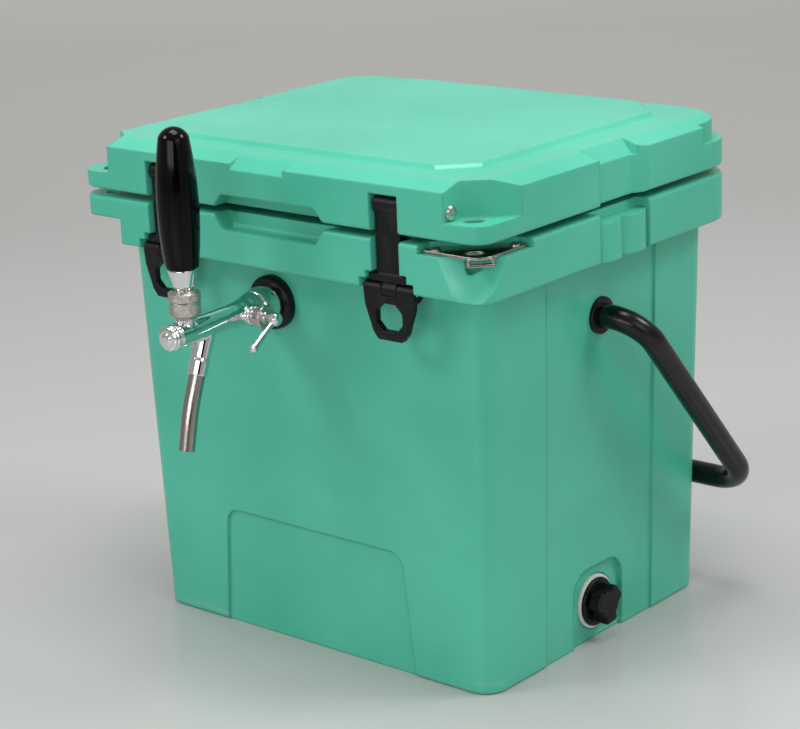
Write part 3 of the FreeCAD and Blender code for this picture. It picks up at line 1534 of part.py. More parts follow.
def coil_gap(wire):
    """The least gap of the tube to itself, measured on points of its centre line."""
    points = []
    for edge in wire.Edges:
        count = max(3, int(edge.Length / 6))
        points += edge.discretize(count)[:-1]
    travel = [0.0]
    for before, after in zip(points, points[1:]):
        travel.append(travel[-1] + before.distanceToPoint(after))
    least = 1e9
    skip = 8 * coil_tube_radius
    for i in range(0, len(points), 2):
        for j in range(i + 1, len(points)):
            if travel[j] - travel[i] > skip and abs(points[i].z - points[j].z) < 3 * coil_pitch:
                least = min(least, points[i].distanceToPoint(points[j]))
    return least - 2 * coil_tube_radius


def chill_coil():
    wire, end, direction = coil_wire()
    solid = swept(wire, coil_tube_radius)
    section = math.pi * coil_tube_radius ** 2
    print("coil length mm", round(wire.Length), "volume ratio", round(solid.Volume / (section * wire.Length), 4))
    print("least gap of the coil to itself mm", round(coil_gap(wire), 2))
    return solid


def barb_place(back):
    """A point on the tailpiece's axis, a distance back from the barb's end, and the axis itself."""
    point = vector(tap_x, -shank_inner_end + 1.5 + tail_barb_length - back, tap_z)
    return tilted_point(point), tilted_direction(y_axis)


def outlet_hose():
    """From the top of the coil, round over it, to the tap's tailpiece."""
    wire, end, direction = coil_wire()
    start = end - direction * hose_lap
    back_y = 96.0
    barb, along = barb_place(hose_lap)
    crossing = barb + along * ((back_y - barb.y) / along.y)
    points = [start, end + direction * 14, vector(coil_mean_radius - 1, back_y, crossing.z - 3), crossing, barb]
    route = routed_wire(points, [60.0, hose_bend, hose_bend])
    return hose_solid(route)


def hose_solid(route):
    solid = hollow_sweep(route, hose_radius, hose_bore_radius)
    section = math.pi * (hose_radius ** 2 - hose_bore_radius ** 2)
    print("hose length mm", round(route.Length), "volume ratio", round(solid.Volume / (section * route.Length), 4))
    return solid


def inlet_hose():
    """From the inlet in the back wall to the riser inside the coil."""
    riser = riser_place()[2]
    start = vector(riser.x, riser.y, coil_riser_top - hose_lap)
    corner = vector(riser.x, riser.y, inlet_z)
    end = vector(riser.x, inlet_inner_end + hose_lap, inlet_z)
    return hose_solid(routed_wire([start, corner, end], [hose_bend]))


def hose_clamps():
    riser = riser_place()[2]
    wire, end, direction = coil_wire()
    places = [(end - direction * (hose_lap - 3), direction),
              (barb_place(4)[0], barb_place(4)[1] * -1),
              (vector(riser.x, riser.y, coil_riser_top - 4), z_axis * -1),
              (vector(riser.x, inlet_inner_end + 3, inlet_z), y_axis)]
    clamps = []
    for place, along in places:
        band = tube(hose_radius + clamp_thickness, hose_radius, place, along, clamp_width)
        clamps.append(band)
    return clamps


def inlet_fitting(cooler):
    """The keg-side inlet through the back wall: threaded outside, barbed inside."""
    outer_face = body_half_depth(inlet_z)
    end = outer_face + inlet_flange_thickness + inlet_outer_length
    x = inlet_x()
    barb_start = inlet_inner_end + hose_lap + 2
    stem = cylinder(inlet_body_radius, vector(x, barb_start, inlet_z), y_axis, end - barb_start)
    barb = cylinder(hose_bore_radius - 0.03, vector(x, inlet_inner_end, inlet_z), y_axis, barb_start - inlet_inner_end)
    flange = cylinder(inlet_flange_radius, vector(x, outer_face - 2, inlet_z), y_axis, 2 + inlet_flange_thickness)
    flange = flange.cut(cooler)
    bore = cylinder(2.6, vector(x, inlet_inner_end - 1, inlet_z), y_axis, 120)
    return joined([stem, barb, flange]).cut(bore)


def inlet_nut():
    inner = body_half_depth(inlet_z) - wall
    start = vector(inlet_x(), inner - inlet_nut_thickness - 0.3, inlet_z)
    nut = hexagon(inlet_nut_radius, start, y_axis, inlet_nut_thickness)
    return nut.cut(cylinder(inlet_body_radius + hinge_running_gap, start - y_axis, y_axis, 30))


def coil_stand():
    """A flat ring on three feet, with three posts that keep the loops in line."""
    top = coil_base_z - coil_tube_radius - 0.05
    outer = coil_mean_radius + 4
    ring = tube(outer, outer - stand_ring_width, vector(0, 0, top - stand_ring_thickness), z_axis,
                stand_ring_thickness)
    parts = [ring]
    post_circle = coil_mean_radius - coil_tube_radius - stand_post_gap - stand_post_radius
    height = coil_base_z + coil_pitch * coil_turns - top
    for angle in stand_post_angles:
        place = vector(math.cos(math.radians(angle)), math.sin(math.radians(angle)), 0) * post_circle
        parts.append(cylinder(stand_post_radius, place + z_axis * (top - 1), z_axis, height))
        parts.append(cylinder(5, place + z_axis * floor_level, z_axis, top - floor_level - 1))
    return joined(parts)


def make_all():
    os.makedirs("parts", exist_ok=True)
    outer = cooler_solid()
    foam = body_foam()
    cooler = outer.cut(foam)
    save("cooler_shell", cooler)
    save("body_foam", foam)
    lid = lid_solid()
    inside = lid_foam()
    save("lid_shell", lid.cut(inside))
    save("lid_foam", inside)
    save("lid_gasket", gasket_ring(rim_top, lid_bottom + gasket_groove))
    save("hinge_rod", hinge_rod())
    save("hinge_rod_plug", hinge_rod_plug(cooler))
    save("latch_pins", [latch_pin(1), latch_pin(-1)])
    for side, word in ((1, "right"), (-1, "left")):
        save("latch_strap_" + word, latch_strap(side))
        save("latch_tab_" + word, latch_tab(side))
        save("latch_tab_pin_" + word, latch_tab_pin(side))
    save("lock_plate", lock_plate())
    save("lock_plate_screws", plate_screws())
    save("carry_handle", carry_handle())
    bush = handle_bush(cooler)
    save("handle_bushes", [bush, mirrored(bush)])
    save("drain_seal", drain_seal())
    save("drain_body", drain_body())
    save("drain_nut", drain_nut())
    save("drain_cap_ring", drain_ring())
    save("drain_cap", drain_cap())
    save("tap_wall_flange", tap_wall_flange(cooler))
    save("shank", tilted(shank()))
    save("shank_washer", shank_washer(cooler))
    save("shank_nut", tilted(shank_nut()))
    save("tailpiece_seal", tilted(tailpiece_seal()))
    save("tailpiece", tilted(tailpiece()))
    save("tailpiece_nut", tilted(tailpiece_nut()))
    save("coupling_collar", tilted(coupling_collar()))
    save("faucet_body", tilted(faucet_body()))
    save("faucet_nose_cap", tilted(nose_cap()))
    save("spout_tube", tilted(spout_tube()))
    save("faucet_bonnet", tilted(bonnet()))
    save("tap_lever", upright(lever()))
    save("knurled_ring", upright(knurled_ring()))
    save("handle_ferrule", upright(ferrule()))
    save("tap_handle", upright(tap_handle()))
    save("valve_shaft", tilted(valve_shaft()))
    save("valve_seal", tilted(valve_seal()))
    save("flow_nut", tilted(flow_nut()))
    save("flow_lever", tilted(flow_lever()))
    save("flow_compensator", tilted(compensator()))
    save("chill_coil", chill_coil())
    save("coil_stand", coil_stand())
    save("outlet_hose", outlet_hose())
    save("inlet_hose", inlet_hose())
    save("hose_clamps", hose_clamps())
    save("inlet_fitting", inlet_fitting(cooler))
    save("inlet_nut", inlet_nut())


make_all()
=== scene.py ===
import json
import math

import bmesh
import bpy
import numpy as np
from mathutils import Matrix, Vector


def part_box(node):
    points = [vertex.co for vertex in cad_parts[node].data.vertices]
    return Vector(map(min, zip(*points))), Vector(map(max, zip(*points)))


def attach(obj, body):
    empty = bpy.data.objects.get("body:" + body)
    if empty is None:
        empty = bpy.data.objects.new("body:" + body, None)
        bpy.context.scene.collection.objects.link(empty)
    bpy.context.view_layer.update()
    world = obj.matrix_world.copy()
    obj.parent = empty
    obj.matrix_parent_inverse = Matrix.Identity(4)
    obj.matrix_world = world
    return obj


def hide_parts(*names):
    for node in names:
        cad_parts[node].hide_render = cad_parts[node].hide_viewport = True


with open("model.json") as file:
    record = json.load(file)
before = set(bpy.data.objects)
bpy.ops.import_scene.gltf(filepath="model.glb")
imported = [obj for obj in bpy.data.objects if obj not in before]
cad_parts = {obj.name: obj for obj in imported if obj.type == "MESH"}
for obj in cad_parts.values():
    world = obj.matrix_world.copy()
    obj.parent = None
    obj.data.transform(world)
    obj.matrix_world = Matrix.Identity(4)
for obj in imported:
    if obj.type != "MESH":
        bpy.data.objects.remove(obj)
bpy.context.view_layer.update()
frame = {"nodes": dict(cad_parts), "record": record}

scene = bpy.context.scene
bodyOf = {node: body for body, nodes in frame["record"]["behaviour"]["bodies"].items() for node in nodes}
slotOf = {part["node"]: part["material_slot"] for part in frame["record"]["subparts"]}


# one output socket; +, - and * on it add Math nodes
class Wire:
    def __init__(self, paint, socket):
        self.paint = paint
        self.socket = socket

    def calc(self, operation, a, b):
        return self.paint.add("ShaderNodeMath", {"operation": operation}, {0: a, 1: b})

    def __add__(self, other):
        return self.calc("ADD", self, other)

    def __radd__(self, other):
        return self.calc("ADD", other, self)

    def __sub__(self, other):
        return self.calc("SUBTRACT", self, other)

    def __rsub__(self, other):
        return self.calc("SUBTRACT", other, self)

    def __mul__(self, other):
        return self.calc("MULTIPLY", self, other)

    def __rmul__(self, other):
        return self.calc("MULTIPLY", other, self)


# a material under construction: add() makes any node from its type, settings and inputs
class Paint:
    def __init__(self, name):
        self.material = bpy.data.materials.new(name)
        self.material.use_nodes = True
        self.tree = self.material.node_tree
        self.tree.nodes.clear()

    def add(self, kind, settings, inputs, output=0):
        node = self.tree.nodes.new(kind)
        for key, value in settings.items():
            setattr(node, key, value)
        for key, value in inputs.items():
            if isinstance(value, Wire):
                self.tree.links.new(value.socket, node.inputs[key])
            else:
                node.inputs[key].default_value = value
        return Wire(self, node.outputs[output])

    # object coordinates in metres, times a scale along each axis
    def place(self, scale=(1, 1, 1)):
        coords = self.add("ShaderNodeTexCoord", {}, {}, "Object")
        return self.add("ShaderNodeMapping", {}, {"Vector": coords, "Scale": scale}, "Vector")

    # noise of a given grain size in metres; about 0.5 on average
    def grain(self, size, detail=2.0, stretch=(1, 1, 1)):
        return self.add("ShaderNodeTexNoise", {}, {"Vector": self.place(stretch), "Scale": 1 / size,
                                                   "Detail": detail, "Roughness": 0.55})

    # 0 below low, 1 above high, straight between
    def band(self, value, low, high):
        return self.add("ShaderNodeMapRange", {}, {"Value": value, "From Min": low, "From Max": high})

    # first colour * (1 - amount) + second colour * amount
    def mixed(self, amount, first, second):
        return self.add("ShaderNodeMix", {"data_type": "RGBA"}, {0: amount, 6: first, 7: second}, 2)

    # distance in metres along one axis of the object
    def along(self, axis):
        coords = self.add("ShaderNodeTexCoord", {}, {}, "Object")
        return self.add("ShaderNodeSeparateXYZ", {}, {"Vector": coords}, axis)

    # a height from 0 to 1, times a depth in metres, as a bumped normal
    def bump(self, height, depth, below=None):
        inputs = {"Height": height, "Strength": 1.0, "Distance": depth}
        if below is not None:
            inputs["Normal"] = below
        return self.add("ShaderNodeBump", {}, inputs)

    # rounds the shading of sharp edges over a radius in metres
    def softened(self, radius):
        return self.add("ShaderNodeBevel", {"samples": 6}, {"Radius": radius})

    # the shader: varying inputs change over the surface, fixed ones don't
    def finish(self, varying, fixed):
        shader = self.add("ShaderNodeBsdfPrincipled", {}, {**varying, **fixed})
        out = self.tree.nodes.new("ShaderNodeOutputMaterial")
        self.tree.links.new(shader.socket, out.inputs["Surface"])
        return self.material


def colour(r, g, b):
    return (r, g, b, 1)


# sizes in metres; each amount is how far a colour is mixed in
greenShell = {"base": (0.062, 0.450, 0.312), "pale": (0.082, 0.51, 0.362), "cloudSize": 0.16,
              "speck": (0.05, 0.30, 0.21), "speckSize": 0.0016, "speckAmount": 0.18,
              "scuff": (0.30, 0.52, 0.45), "scuffSize": 0.02, "scuffAmount": 0.5, "scuffHeight": 0.03,
              "roughness": 0.30, "peel": 0.00011, "peelSize": 0.0045, "fineSize": 0.0009, "edge": 0.0028}


# satin moulded plastic: two close greens in slow clouds, orange-peel bump, faint scuffs near the base
def shellPaint(name):
    g = greenShell
    paint = Paint(name)
    cloud = paint.grain(g["cloudSize"], 3)
    speck = paint.band(paint.grain(g["speckSize"], 1), 0.70, 0.80)
    tone = paint.mixed(paint.band(cloud, 0.35, 0.65), colour(*g["base"]), colour(*g["pale"]))
    nearBase = 1 - paint.band(paint.along("Z"), 0.0, g["scuffHeight"])
    scuff = paint.band(paint.grain(g["scuffSize"], 6, (0.2, 0.2, 3)), 0.58, 0.75) * nearBase
    tone = paint.mixed(speck * g["speckAmount"], tone, colour(*g["speck"]))
    tone = paint.mixed(scuff * g["scuffAmount"], tone, colour(*g["scuff"]))
    rough = g["roughness"] + (paint.grain(0.05, 4) - 0.5) * 0.10 + scuff * 0.2
    peel = paint.grain(g["peelSize"], 2) + paint.grain(g["fineSize"], 1) * 0.12
    normal = paint.bump(peel, g["peel"], paint.softened(g["edge"]))
    return paint.finish({"Base Color": tone, "Roughness": rough, "Normal": normal}, {"IOR": 1.48})


greyDust = {"tone": (0.05, 0.052, 0.055), "size": 0.011, "roughness": 0.25}


# black parts: a dark tone with grey dust in patches, and a grain of its own
def blackPaint(name, tone, roughness, dust, grainSize, depth, shine=0.5, edge=0.0006):
    paint = Paint(name)
    cloud = paint.grain(0.03, 4)
    dusty = paint.band(paint.grain(greyDust["size"], 6), 0.52, 0.80) * dust
    base = paint.mixed(dusty, colour(tone, tone, tone * 1.08), colour(*greyDust["tone"]))
    rough = roughness + (cloud - 0.5) * 0.16 + dusty * greyDust["roughness"]
    normal = paint.bump(paint.grain(grainSize, 2), depth, paint.softened(edge))
    return paint.finish({"Base Color": base, "Roughness": rough, "Normal": normal},
                        {"Specular IOR Level": shine})


# polished plate: near white metal with smears that are a little darker and rougher
def chromePaint(name, tone, roughness):
    paint = Paint(name)
    smear = paint.band(paint.grain(0.012, 5), 0.45, 0.75)
    base = paint.mixed(smear, colour(tone, tone, tone), colour(tone * 0.93, tone * 0.94, tone * 0.95))
    rough = roughness + smear * 0.06
    normal = paint.bump(paint.grain(0.006, 2), 0.000012, paint.softened(0.0004))
    return paint.finish({"Base Color": base, "Roughness": rough, "Normal": normal}, {"Metallic": 1.0})


# brushed metal: the grain is long along the axis whose stretch is small, in both roughness and bump
def brushedPaint(name, tone, roughness, stretch, depth=0.00003, grime=0.3):
    paint = Paint(name)
    brush = paint.grain(0.0006, 3, stretch)
    dirt = paint.band(paint.grain(0.009, 5), 0.50, 0.78) * grime
    base = paint.mixed(dirt, colour(*tone), colour(tone[0] * 0.55, tone[1] * 0.52, tone[2] * 0.48))
    rough = roughness + (brush - 0.5) * 0.22 + dirt * 0.15
    normal = paint.bump(brush, depth, paint.softened(0.0003))
    return paint.finish({"Base Color": base, "Roughness": rough, "Normal": normal}, {"Metallic": 1.0})


# pale plastics, silicone, hose and foam: a soft tone with a second one in patches
def palePaint(name, tone, patch, roughness, grainSize, depth):
    paint = Paint(name)
    base = paint.mixed(paint.band(paint.grain(0.02, 4), 0.4, 0.75), colour(*tone), colour(*patch))
    rough = roughness + (paint.grain(0.01, 3) - 0.5) * 0.15
    normal = paint.bump(paint.grain(grainSize, 2), depth)
    return paint.finish({"Base Color": base, "Roughness": rough, "Normal": normal}, {})


finishes = {
    "green": shellPaint("greenShell"),
    "foam": palePaint("foam", (0.80, 0.72, 0.48), (0.70, 0.60, 0.36), 0.9, 0.002, 0.0003),
    "seal_black": blackPaint("sealRubber", 0.012, 0.42, 0.3, 0.0015, 0.00003, 0.35),
    "strap_black": blackPaint("strapRubber", 0.004, 0.42, 0.30, 0.0012, 0.00003, 0.25),
    "plastic_black": blackPaint("blackPlastic", 0.003, 0.34, 0.20, 0.001, 0.00003, 0.25),
    "handle_gloss": blackPaint("lacqueredHandle", 0.001, 0.10, 0.03, 0.008, 0.00001, 0.16),
    "handle_tube": blackPaint("powderCoat", 0.002, 0.24, 0.10, 0.0011, 0.00004, 0.35),
    "chrome": chromePaint("chromePlate", 0.78, 0.045),
    "knurl": brushedPaint("knurledNickel", (0.50, 0.48, 0.45), 0.26, (1, 1, 1), 0.00002, 0.6),
    "steel": brushedPaint("brushedStainless", (0.60, 0.59, 0.57), 0.24, (1, 1, 0.04)),
    "spout": brushedPaint("spoutStainless", (0.40, 0.37, 0.345), 0.20, (1, 1, 0.03), 0.00006, 0.2),
    "plate_steel": brushedPaint("cornerPlateSteel", (0.42, 0.39, 0.36), 0.16, (1, 0.08, 1)),
    "white_seal": palePaint("whiteSilicone", (0.80, 0.82, 0.80), (0.66, 0.70, 0.68), 0.45, 0.001, 0.00003),
    "brass": brushedPaint("turnedBrass", (0.72, 0.52, 0.24), 0.25, (0.1, 1, 1)),
    "hose": palePaint("beerHose", (0.66, 0.69, 0.68), (0.58, 0.62, 0.60), 0.25, 0.003, 0.00002),
}
print("stage: finishes", len(finishes))


# every inner corner of a polyline becomes the curve start*(1-s)^2 + corner*2s(1-s) + end*s^2
def rounded(points, radius, steps=4):
    points = np.asarray(points, float)
    corner = points[1:-1]
    back, ahead = points[:-2] - corner, points[2:] - corner
    backLength = np.linalg.norm(back, axis=1, keepdims=True)
    aheadLength = np.linalg.norm(ahead, axis=1, keepdims=True)
    cut = np.minimum(radius, 0.48 * np.minimum(backLength, aheadLength))  # neighbours never meet
    start = corner + back / backLength * cut
    end = corner + ahead / aheadLength * cut
    s = np.linspace(0, 1, steps)[None, :, None]
    curve = start[:, None] * (1 - s) ** 2 + corner[:, None] * 2 * s * (1 - s) + end[:, None] * s ** 2
    return np.vstack([points[:1], curve.reshape(-1, points.shape[1]), points[-1:]])


# a mesh from a grid of points: each face joins a point with the next in its row and its column
def gridPiece(name, grid, wrapColumns=True, sharp=35):
    rows, columns = grid.shape[:2]
    i = np.arange(rows - 1)[:, None]
    j = np.arange(columns if wrapColumns else columns - 1)[None, :]
    nextI, nextJ = i + 1, (j + 1) % columns
    faces = np.stack([i * columns + j, i * columns + nextJ,
                      nextI * columns + nextJ, nextI * columns + j], -1)
    mesh = bpy.data.meshes.new(name)
    mesh.from_pydata(grid.reshape(-1, 3).tolist(), [], faces.reshape(-1, 4).tolist())
    return asPiece(name, mesh, sharp)


# doubles merged, faces turned outwards, smooth except at edges sharper than an angle in degrees
def asPiece(name, mesh, sharp):
    work = bmesh.new()
    work.from_mesh(mesh)
    bmesh.ops.remove_doubles(work, verts=work.verts, dist=0.000002)
    bmesh.ops.recalc_face_normals(work, faces=work.faces)
    work.to_mesh(mesh)
    work.free()
    mesh.shade_smooth()
    mesh.set_sharp_from_angle(angle=math.radians(sharp))
    piece = bpy.data.objects.new(name, mesh)
    scene.collection.objects.link(piece)
    return piece


# dresses a piece in a node's place: finish, slot and body all come from the node
def standIn(piece, node, finish=None):
    piece.data.materials.clear()
    piece.data.materials.append(finishes[finish or slotOf[node]])
    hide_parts(node)
    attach(piece, bodyOf[node])
    return piece


# surface of revolution: origin + axis*height + radius*(cos a * across + sin a * up)
def turnedGrid(profile, origin, axis, sides=96, pattern=None):
    profile = np.asarray(profile, float)
    axis = np.asarray(axis, float) / np.linalg.norm(axis)
    helper = np.array([1.0, 0, 0]) if abs(axis[0]) < 0.9 else np.array([0, 1.0, 0])
    across = np.cross(axis, helper)
    across /= np.linalg.norm(across)
    up = np.cross(axis, across)
    angle = np.linspace(0, 2 * np.pi, sides, endpoint=False)[None, :]
    height, radius = profile[:, :1], profile[:, 1:]
    if pattern is not None:
        radius = radius + pattern(height, angle)
    ring = radius[..., None] * (np.cos(angle)[..., None] * across + np.sin(angle)[..., None] * up)
    return np.asarray(origin, float) + ring + (height + 0 * angle)[..., None] * axis


# a round tube along a path that lies in a plane: ring = path + radius*(cos a * normal + sin a * side)
def tubeGrid(path, radius, normal, sides):
    tangent = np.gradient(path, axis=0)
    tangent /= np.linalg.norm(tangent, axis=1, keepdims=True)
    side = np.cross(tangent, normal)
    side /= np.linalg.norm(side, axis=1, keepdims=True)
    angle = np.linspace(0, 2 * np.pi, sides, endpoint=False)[None, :, None]
    return path[:, None] + radius * (np.cos(angle) * normal + np.sin(angle) * side[:, None])


# each corner of a route becomes an arc that touches both runs: its centre is corner + bisector * radius /
# sin(half angle), and its points are centre + (sin((1-s) sweep) * first + sin(s sweep) * last) / sin(sweep)
def arcRoute(points, radii, steps=24):
    points = np.asarray(points, float)
    pieces = [points[:1]]
    for before, corner, after, radius in zip(points[:-2], points[1:-1], points[2:], radii):
        back = (before - corner) / np.linalg.norm(before - corner)
        ahead = (after - corner) / np.linalg.norm(after - corner)
        half = math.acos(np.clip(back @ ahead, -1, 1)) / 2
        bisector = (back + ahead) / np.linalg.norm(back + ahead)
        centre = corner + bisector * radius / math.sin(half)
        start, end = corner + back * radius / math.tan(half), corner + ahead * radius / math.tan(half)
        first, last = start - centre, end - centre
        sweep = math.pi - 2 * half
        s = np.linspace(0, 1, steps)[:, None]
        arc = (np.sin((1 - s) * sweep) * first + np.sin(s * sweep) * last) / math.sin(sweep)
        pieces.append(centre + arc)
    pieces.append(points[-1:])
    return np.vstack(pieces)


# a copy of a CAD node, merged, then voxels and smoothing melt its joints together like a casting:
# each smoothing pass moves every point half of the way to the mean of its neighbours
def castCopy(name, node, voxel, passes):
    mesh = frame["nodes"][node].data.copy()
    piece = asPiece(name, mesh, sharp=180)
    remesh = piece.modifiers.new("remesh", "REMESH")
    remesh.mode = "VOXEL"
    remesh.voxel_size = voxel
    remesh.use_smooth_shade = True
    smooth = piece.modifiers.new("smooth", "SMOOTH")
    smooth.factor = 0.5
    smooth.iterations = passes
    return standIn(piece, node)


# where the tap's barrel leaves the front wall, how the wall leans, and the axis that the lever turns on
tapPlace = {"x": -0.024, "frontY": -0.155125, "z": 0.3007, "slope": math.radians(0.8621),
            "leverY": -0.2565, "leverZ": 0.3166}


# a point given level with the tap, turned square to the wall: (dy cos - dz sin, dy sin + dz cos)
def tapPoint(y, z):
    dy, dz = y - tapPlace["frontY"], z - tapPlace["z"]
    c, s = math.cos(tapPlace["slope"]), math.sin(tapPlace["slope"])
    return np.array([tapPlace["x"], tapPlace["frontY"] + dy * c - dz * s, tapPlace["z"] + dy * s + dz * c])


tapForward = tapPoint(-1.0, tapPlace["z"]) - tapPoint(0.0, tapPlace["z"])
tapUp = tapPoint(0.0, 1.0) - tapPoint(0.0, 0.0)
leverPivot = tapPoint(tapPlace["leverY"], tapPlace["leverZ"])
sideways = np.array([1.0, 0, 0])
upward = np.array([0, 0, 1.0])


# how tall a CAD node is, and the point under it on the lever's upright axis
def onLever(node):
    low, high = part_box(node)
    return high.z - low.z, [leverPivot[0], leverPivot[1], low.z]


handleShape = {"baseRadius": 0.0130, "fullRadius": 0.0164, "fullHeight": 0.042, "neckRadius": 0.0145,
               "neckShare": 0.76, "shoulderRadius": 0.0120, "crown": 0.008,
               "footInset": 0.0012, "edgeInset": 0.0003, "edgeRise": 0.0004}


# handle: radius is the cubic through four stations, then a sphere cap of the crown's height
def tapHandle():
    t = handleShape
    height, origin = onLever("tap_handle")
    base, shoulder, crown = t["baseRadius"], t["shoulderRadius"], t["crown"]
    stations = np.array([0.0, t["fullHeight"], t["neckShare"] * height, height - crown])
    radii = np.array([base, t["fullRadius"], t["neckRadius"], shoulder])
    h = np.linspace(0, height - crown, 48)
    cubic = np.polyfit(stations, radii, 3)
    side = np.stack([h, np.polyval(cubic, h)], 1)
    sphere = (shoulder ** 2 + crown ** 2) / (2 * crown)
    a = np.linspace(math.asin(shoulder / sphere), 0, 16)[1:]
    cap = np.stack([height - sphere + sphere * np.cos(a), sphere * np.sin(a)], 1)
    foot = [[0, 0], [0, base - t["footInset"]], [t["edgeRise"], base - t["edgeInset"]]]
    profile = np.vstack([foot, side[1:], cap])
    return standIn(gridPiece("tapHandleGrip", turnedGrid(profile, origin, upward)), "tap_handle")


# diamond knurl: the outermost band sinks by depth * (the higher of two crossed ridges) ** 2,
# fading out at its two ends
def knurl(profile, shape, low, high, fade=0.0004):
    onBand = profile[:, 1:] > shape["radius"] - 0.0001

    def sink(height, angle):
        turn = angle * shape["teeth"] / (2 * np.pi)
        climb = height / shape["pitch"]
        first = np.abs(((turn + climb) % 1) - 0.5) * 2
        second = np.abs(((turn - climb) % 1) - 0.5) * 2
        inside = np.clip((height - low) / fade, 0, 1) * np.clip((high - height) / fade, 0, 1)
        return -shape["depth"] * np.maximum(first, second) ** 2 * inside * onBand

    return sink


# a straight band in many rows between two heights, so that the knurl has rows to move
def banded(low, high, radius, rows=40):
    h = np.linspace(low, high, rows)
    return np.stack([h, np.full(rows, radius)], 1)


ringShape = {"radius": 0.0128, "foot": 0.0088, "footRise": 0.0008, "bandRise": 0.001, "topDrop": 0.0026,
             "chamfer": 0.0034, "mouth": 0.0034, "bore": 0.0031, "lip": 0.0005,
             "cup": [(0.003, 0.0031), (0.0045, 0.0060), (0.0022, 0.0100)],
             "teeth": 46, "pitch": 0.0018, "depth": 0.00035, "sides": 368}


# ring under the handle: a knurled band, a chamfer above it, and a hollow underneath
def upperRing():
    r = ringShape
    radius = r["radius"]
    height, origin = onLever("knurled_ring")
    bandTop = height - r["topDrop"]
    foot = rounded([(0.0, r["foot"]), (0.0, radius), (r["footRise"], radius)], 0.0004)
    band = banded(r["bandRise"], bandTop - 0.0004, radius)
    top = rounded([(bandTop, radius), (height, radius - r["chamfer"]), (height, r["mouth"])], 0.0005)
    inside = [(height - r["lip"], r["bore"]), *r["cup"]]
    profile = np.vstack([foot, band, top, inside, foot[:1]])
    pattern = knurl(profile, r, r["bandRise"] - 0.0001, bandTop - 0.0002)
    grid = turnedGrid(profile, origin, upward, r["sides"], pattern)
    return standIn(gridPiece("upperKnurledRing", grid), "knurled_ring")


ferruleShape = {"bore": 0.0031, "foot": 0.0072, "footRise": 0.0006, "rim": 0.0120, "rimDrop": 0.0012,
                "top": 0.0117, "edge": 0.0007}


# ferrule: a straight cone from a short foot to a rim, turned about the lever's axis
def ferruleCone():
    f = ferruleShape
    height, origin = onLever("handle_ferrule")
    outer = rounded([(0, f["bore"]), (0, f["foot"]), (f["footRise"], f["foot"]),
                     (height - f["rimDrop"], f["rim"]), (height, f["top"]), (height, f["bore"])],
                    f["edge"], 6)
    profile = np.vstack([outer, outer[:1]])
    return standIn(gridPiece("handleFerruleCone", turnedGrid(profile, origin, upward)), "handle_ferrule")


# each pair is a distance along the barrel and a radius
capShape = {"start": 0.27205, "edge": 0.0005,
            "profile": [(0, 0.0), (0, 0.0098), (0.0006, 0.0102), (0.0026, 0.0102), (0.0032, 0.0090),
                        (0.0039, 0.0090), (0.0045, 0.0099), (0.0058, 0.0097), (0.0066, 0.0084),
                        (0.0070, 0.0072), (0.0070, 0.0050), (0.0080, 0.0042), (0.00855, 0.0024),
                        (0.00855, 0.0)]}


# nose cap: rings stepped down along the barrel, each edge rounded, turned about the barrel's axis
def noseCap():
    profile = rounded(capShape["profile"], capShape["edge"], 5)
    origin = tapPoint(-capShape["start"], tapPlace["z"])
    grid = turnedGrid(profile, origin, tapForward)
    return standIn(gridPiece("noseCapRings", grid, sharp=50), "faucet_nose_cap")


bonnetShape = {"base": 0.31265, "height": 0.0142, "radius": 0.0124, "topRadius": 0.0118, "bore": 0.0064,
               "foot": [(0.0, 0.0066), (0.0, 0.0096), (0.0014, 0.0100)], "footTop": 0.0036,
               "bandRise": 0.0047, "bandDrop": 0.0014, "mouth": 0.0092, "cup": (0.0070, 0.0058),
               "boreTop": 0.0045, "edge": 0.0005, "teeth": 44, "pitch": 0.0018, "depth": 0.00035,
               "sides": 352}


# bonnet: a tapered foot, a knurled band, and a cupped mouth
def bonnetNut():
    b = bonnetShape
    radius, height = b["radius"], b["height"]
    bandTop = height - b["bandDrop"]
    foot = rounded([*b["foot"], (b["footTop"], radius), (b["bandRise"] - 0.0001, radius)], b["edge"])
    band = banded(b["bandRise"], bandTop, radius)
    top = rounded([(bandTop + 0.0002, radius), (height, b["topRadius"]), (height, b["mouth"]),
                   b["cup"], (b["boreTop"], b["bore"]), (0.0, b["bore"])], b["edge"])
    profile = np.vstack([foot, band, top, foot[:1]])
    pattern = knurl(profile, b, b["bandRise"], bandTop)
    origin = tapPoint(tapPlace["leverY"], b["base"])
    grid = turnedGrid(profile, origin, tapUp, b["sides"], pattern)
    return standIn(gridPiece("bonnetNut", grid), "faucet_bonnet")


# each pair of the profile is a distance to the side and a radius
flowNutShape = {"start": -0.00895, "y": 0.194, "edge": 0.0006,
                "profile": [(0.0, 0.0031), (0.0, 0.0074), (0.0015, 0.0088), (0.0035, 0.0086),
                            (0.0100, 0.0097), (0.0114, 0.0102), (0.0124, 0.0096), (0.0124, 0.0056),
                            (0.01395, 0.0050), (0.01395, 0.0031)],
                "flutes": 8, "fluteDepth": 0.00112, "fluteAbove": 0.0072, "fluteEnd": 0.0112,
                "fluteFade": 0.002}


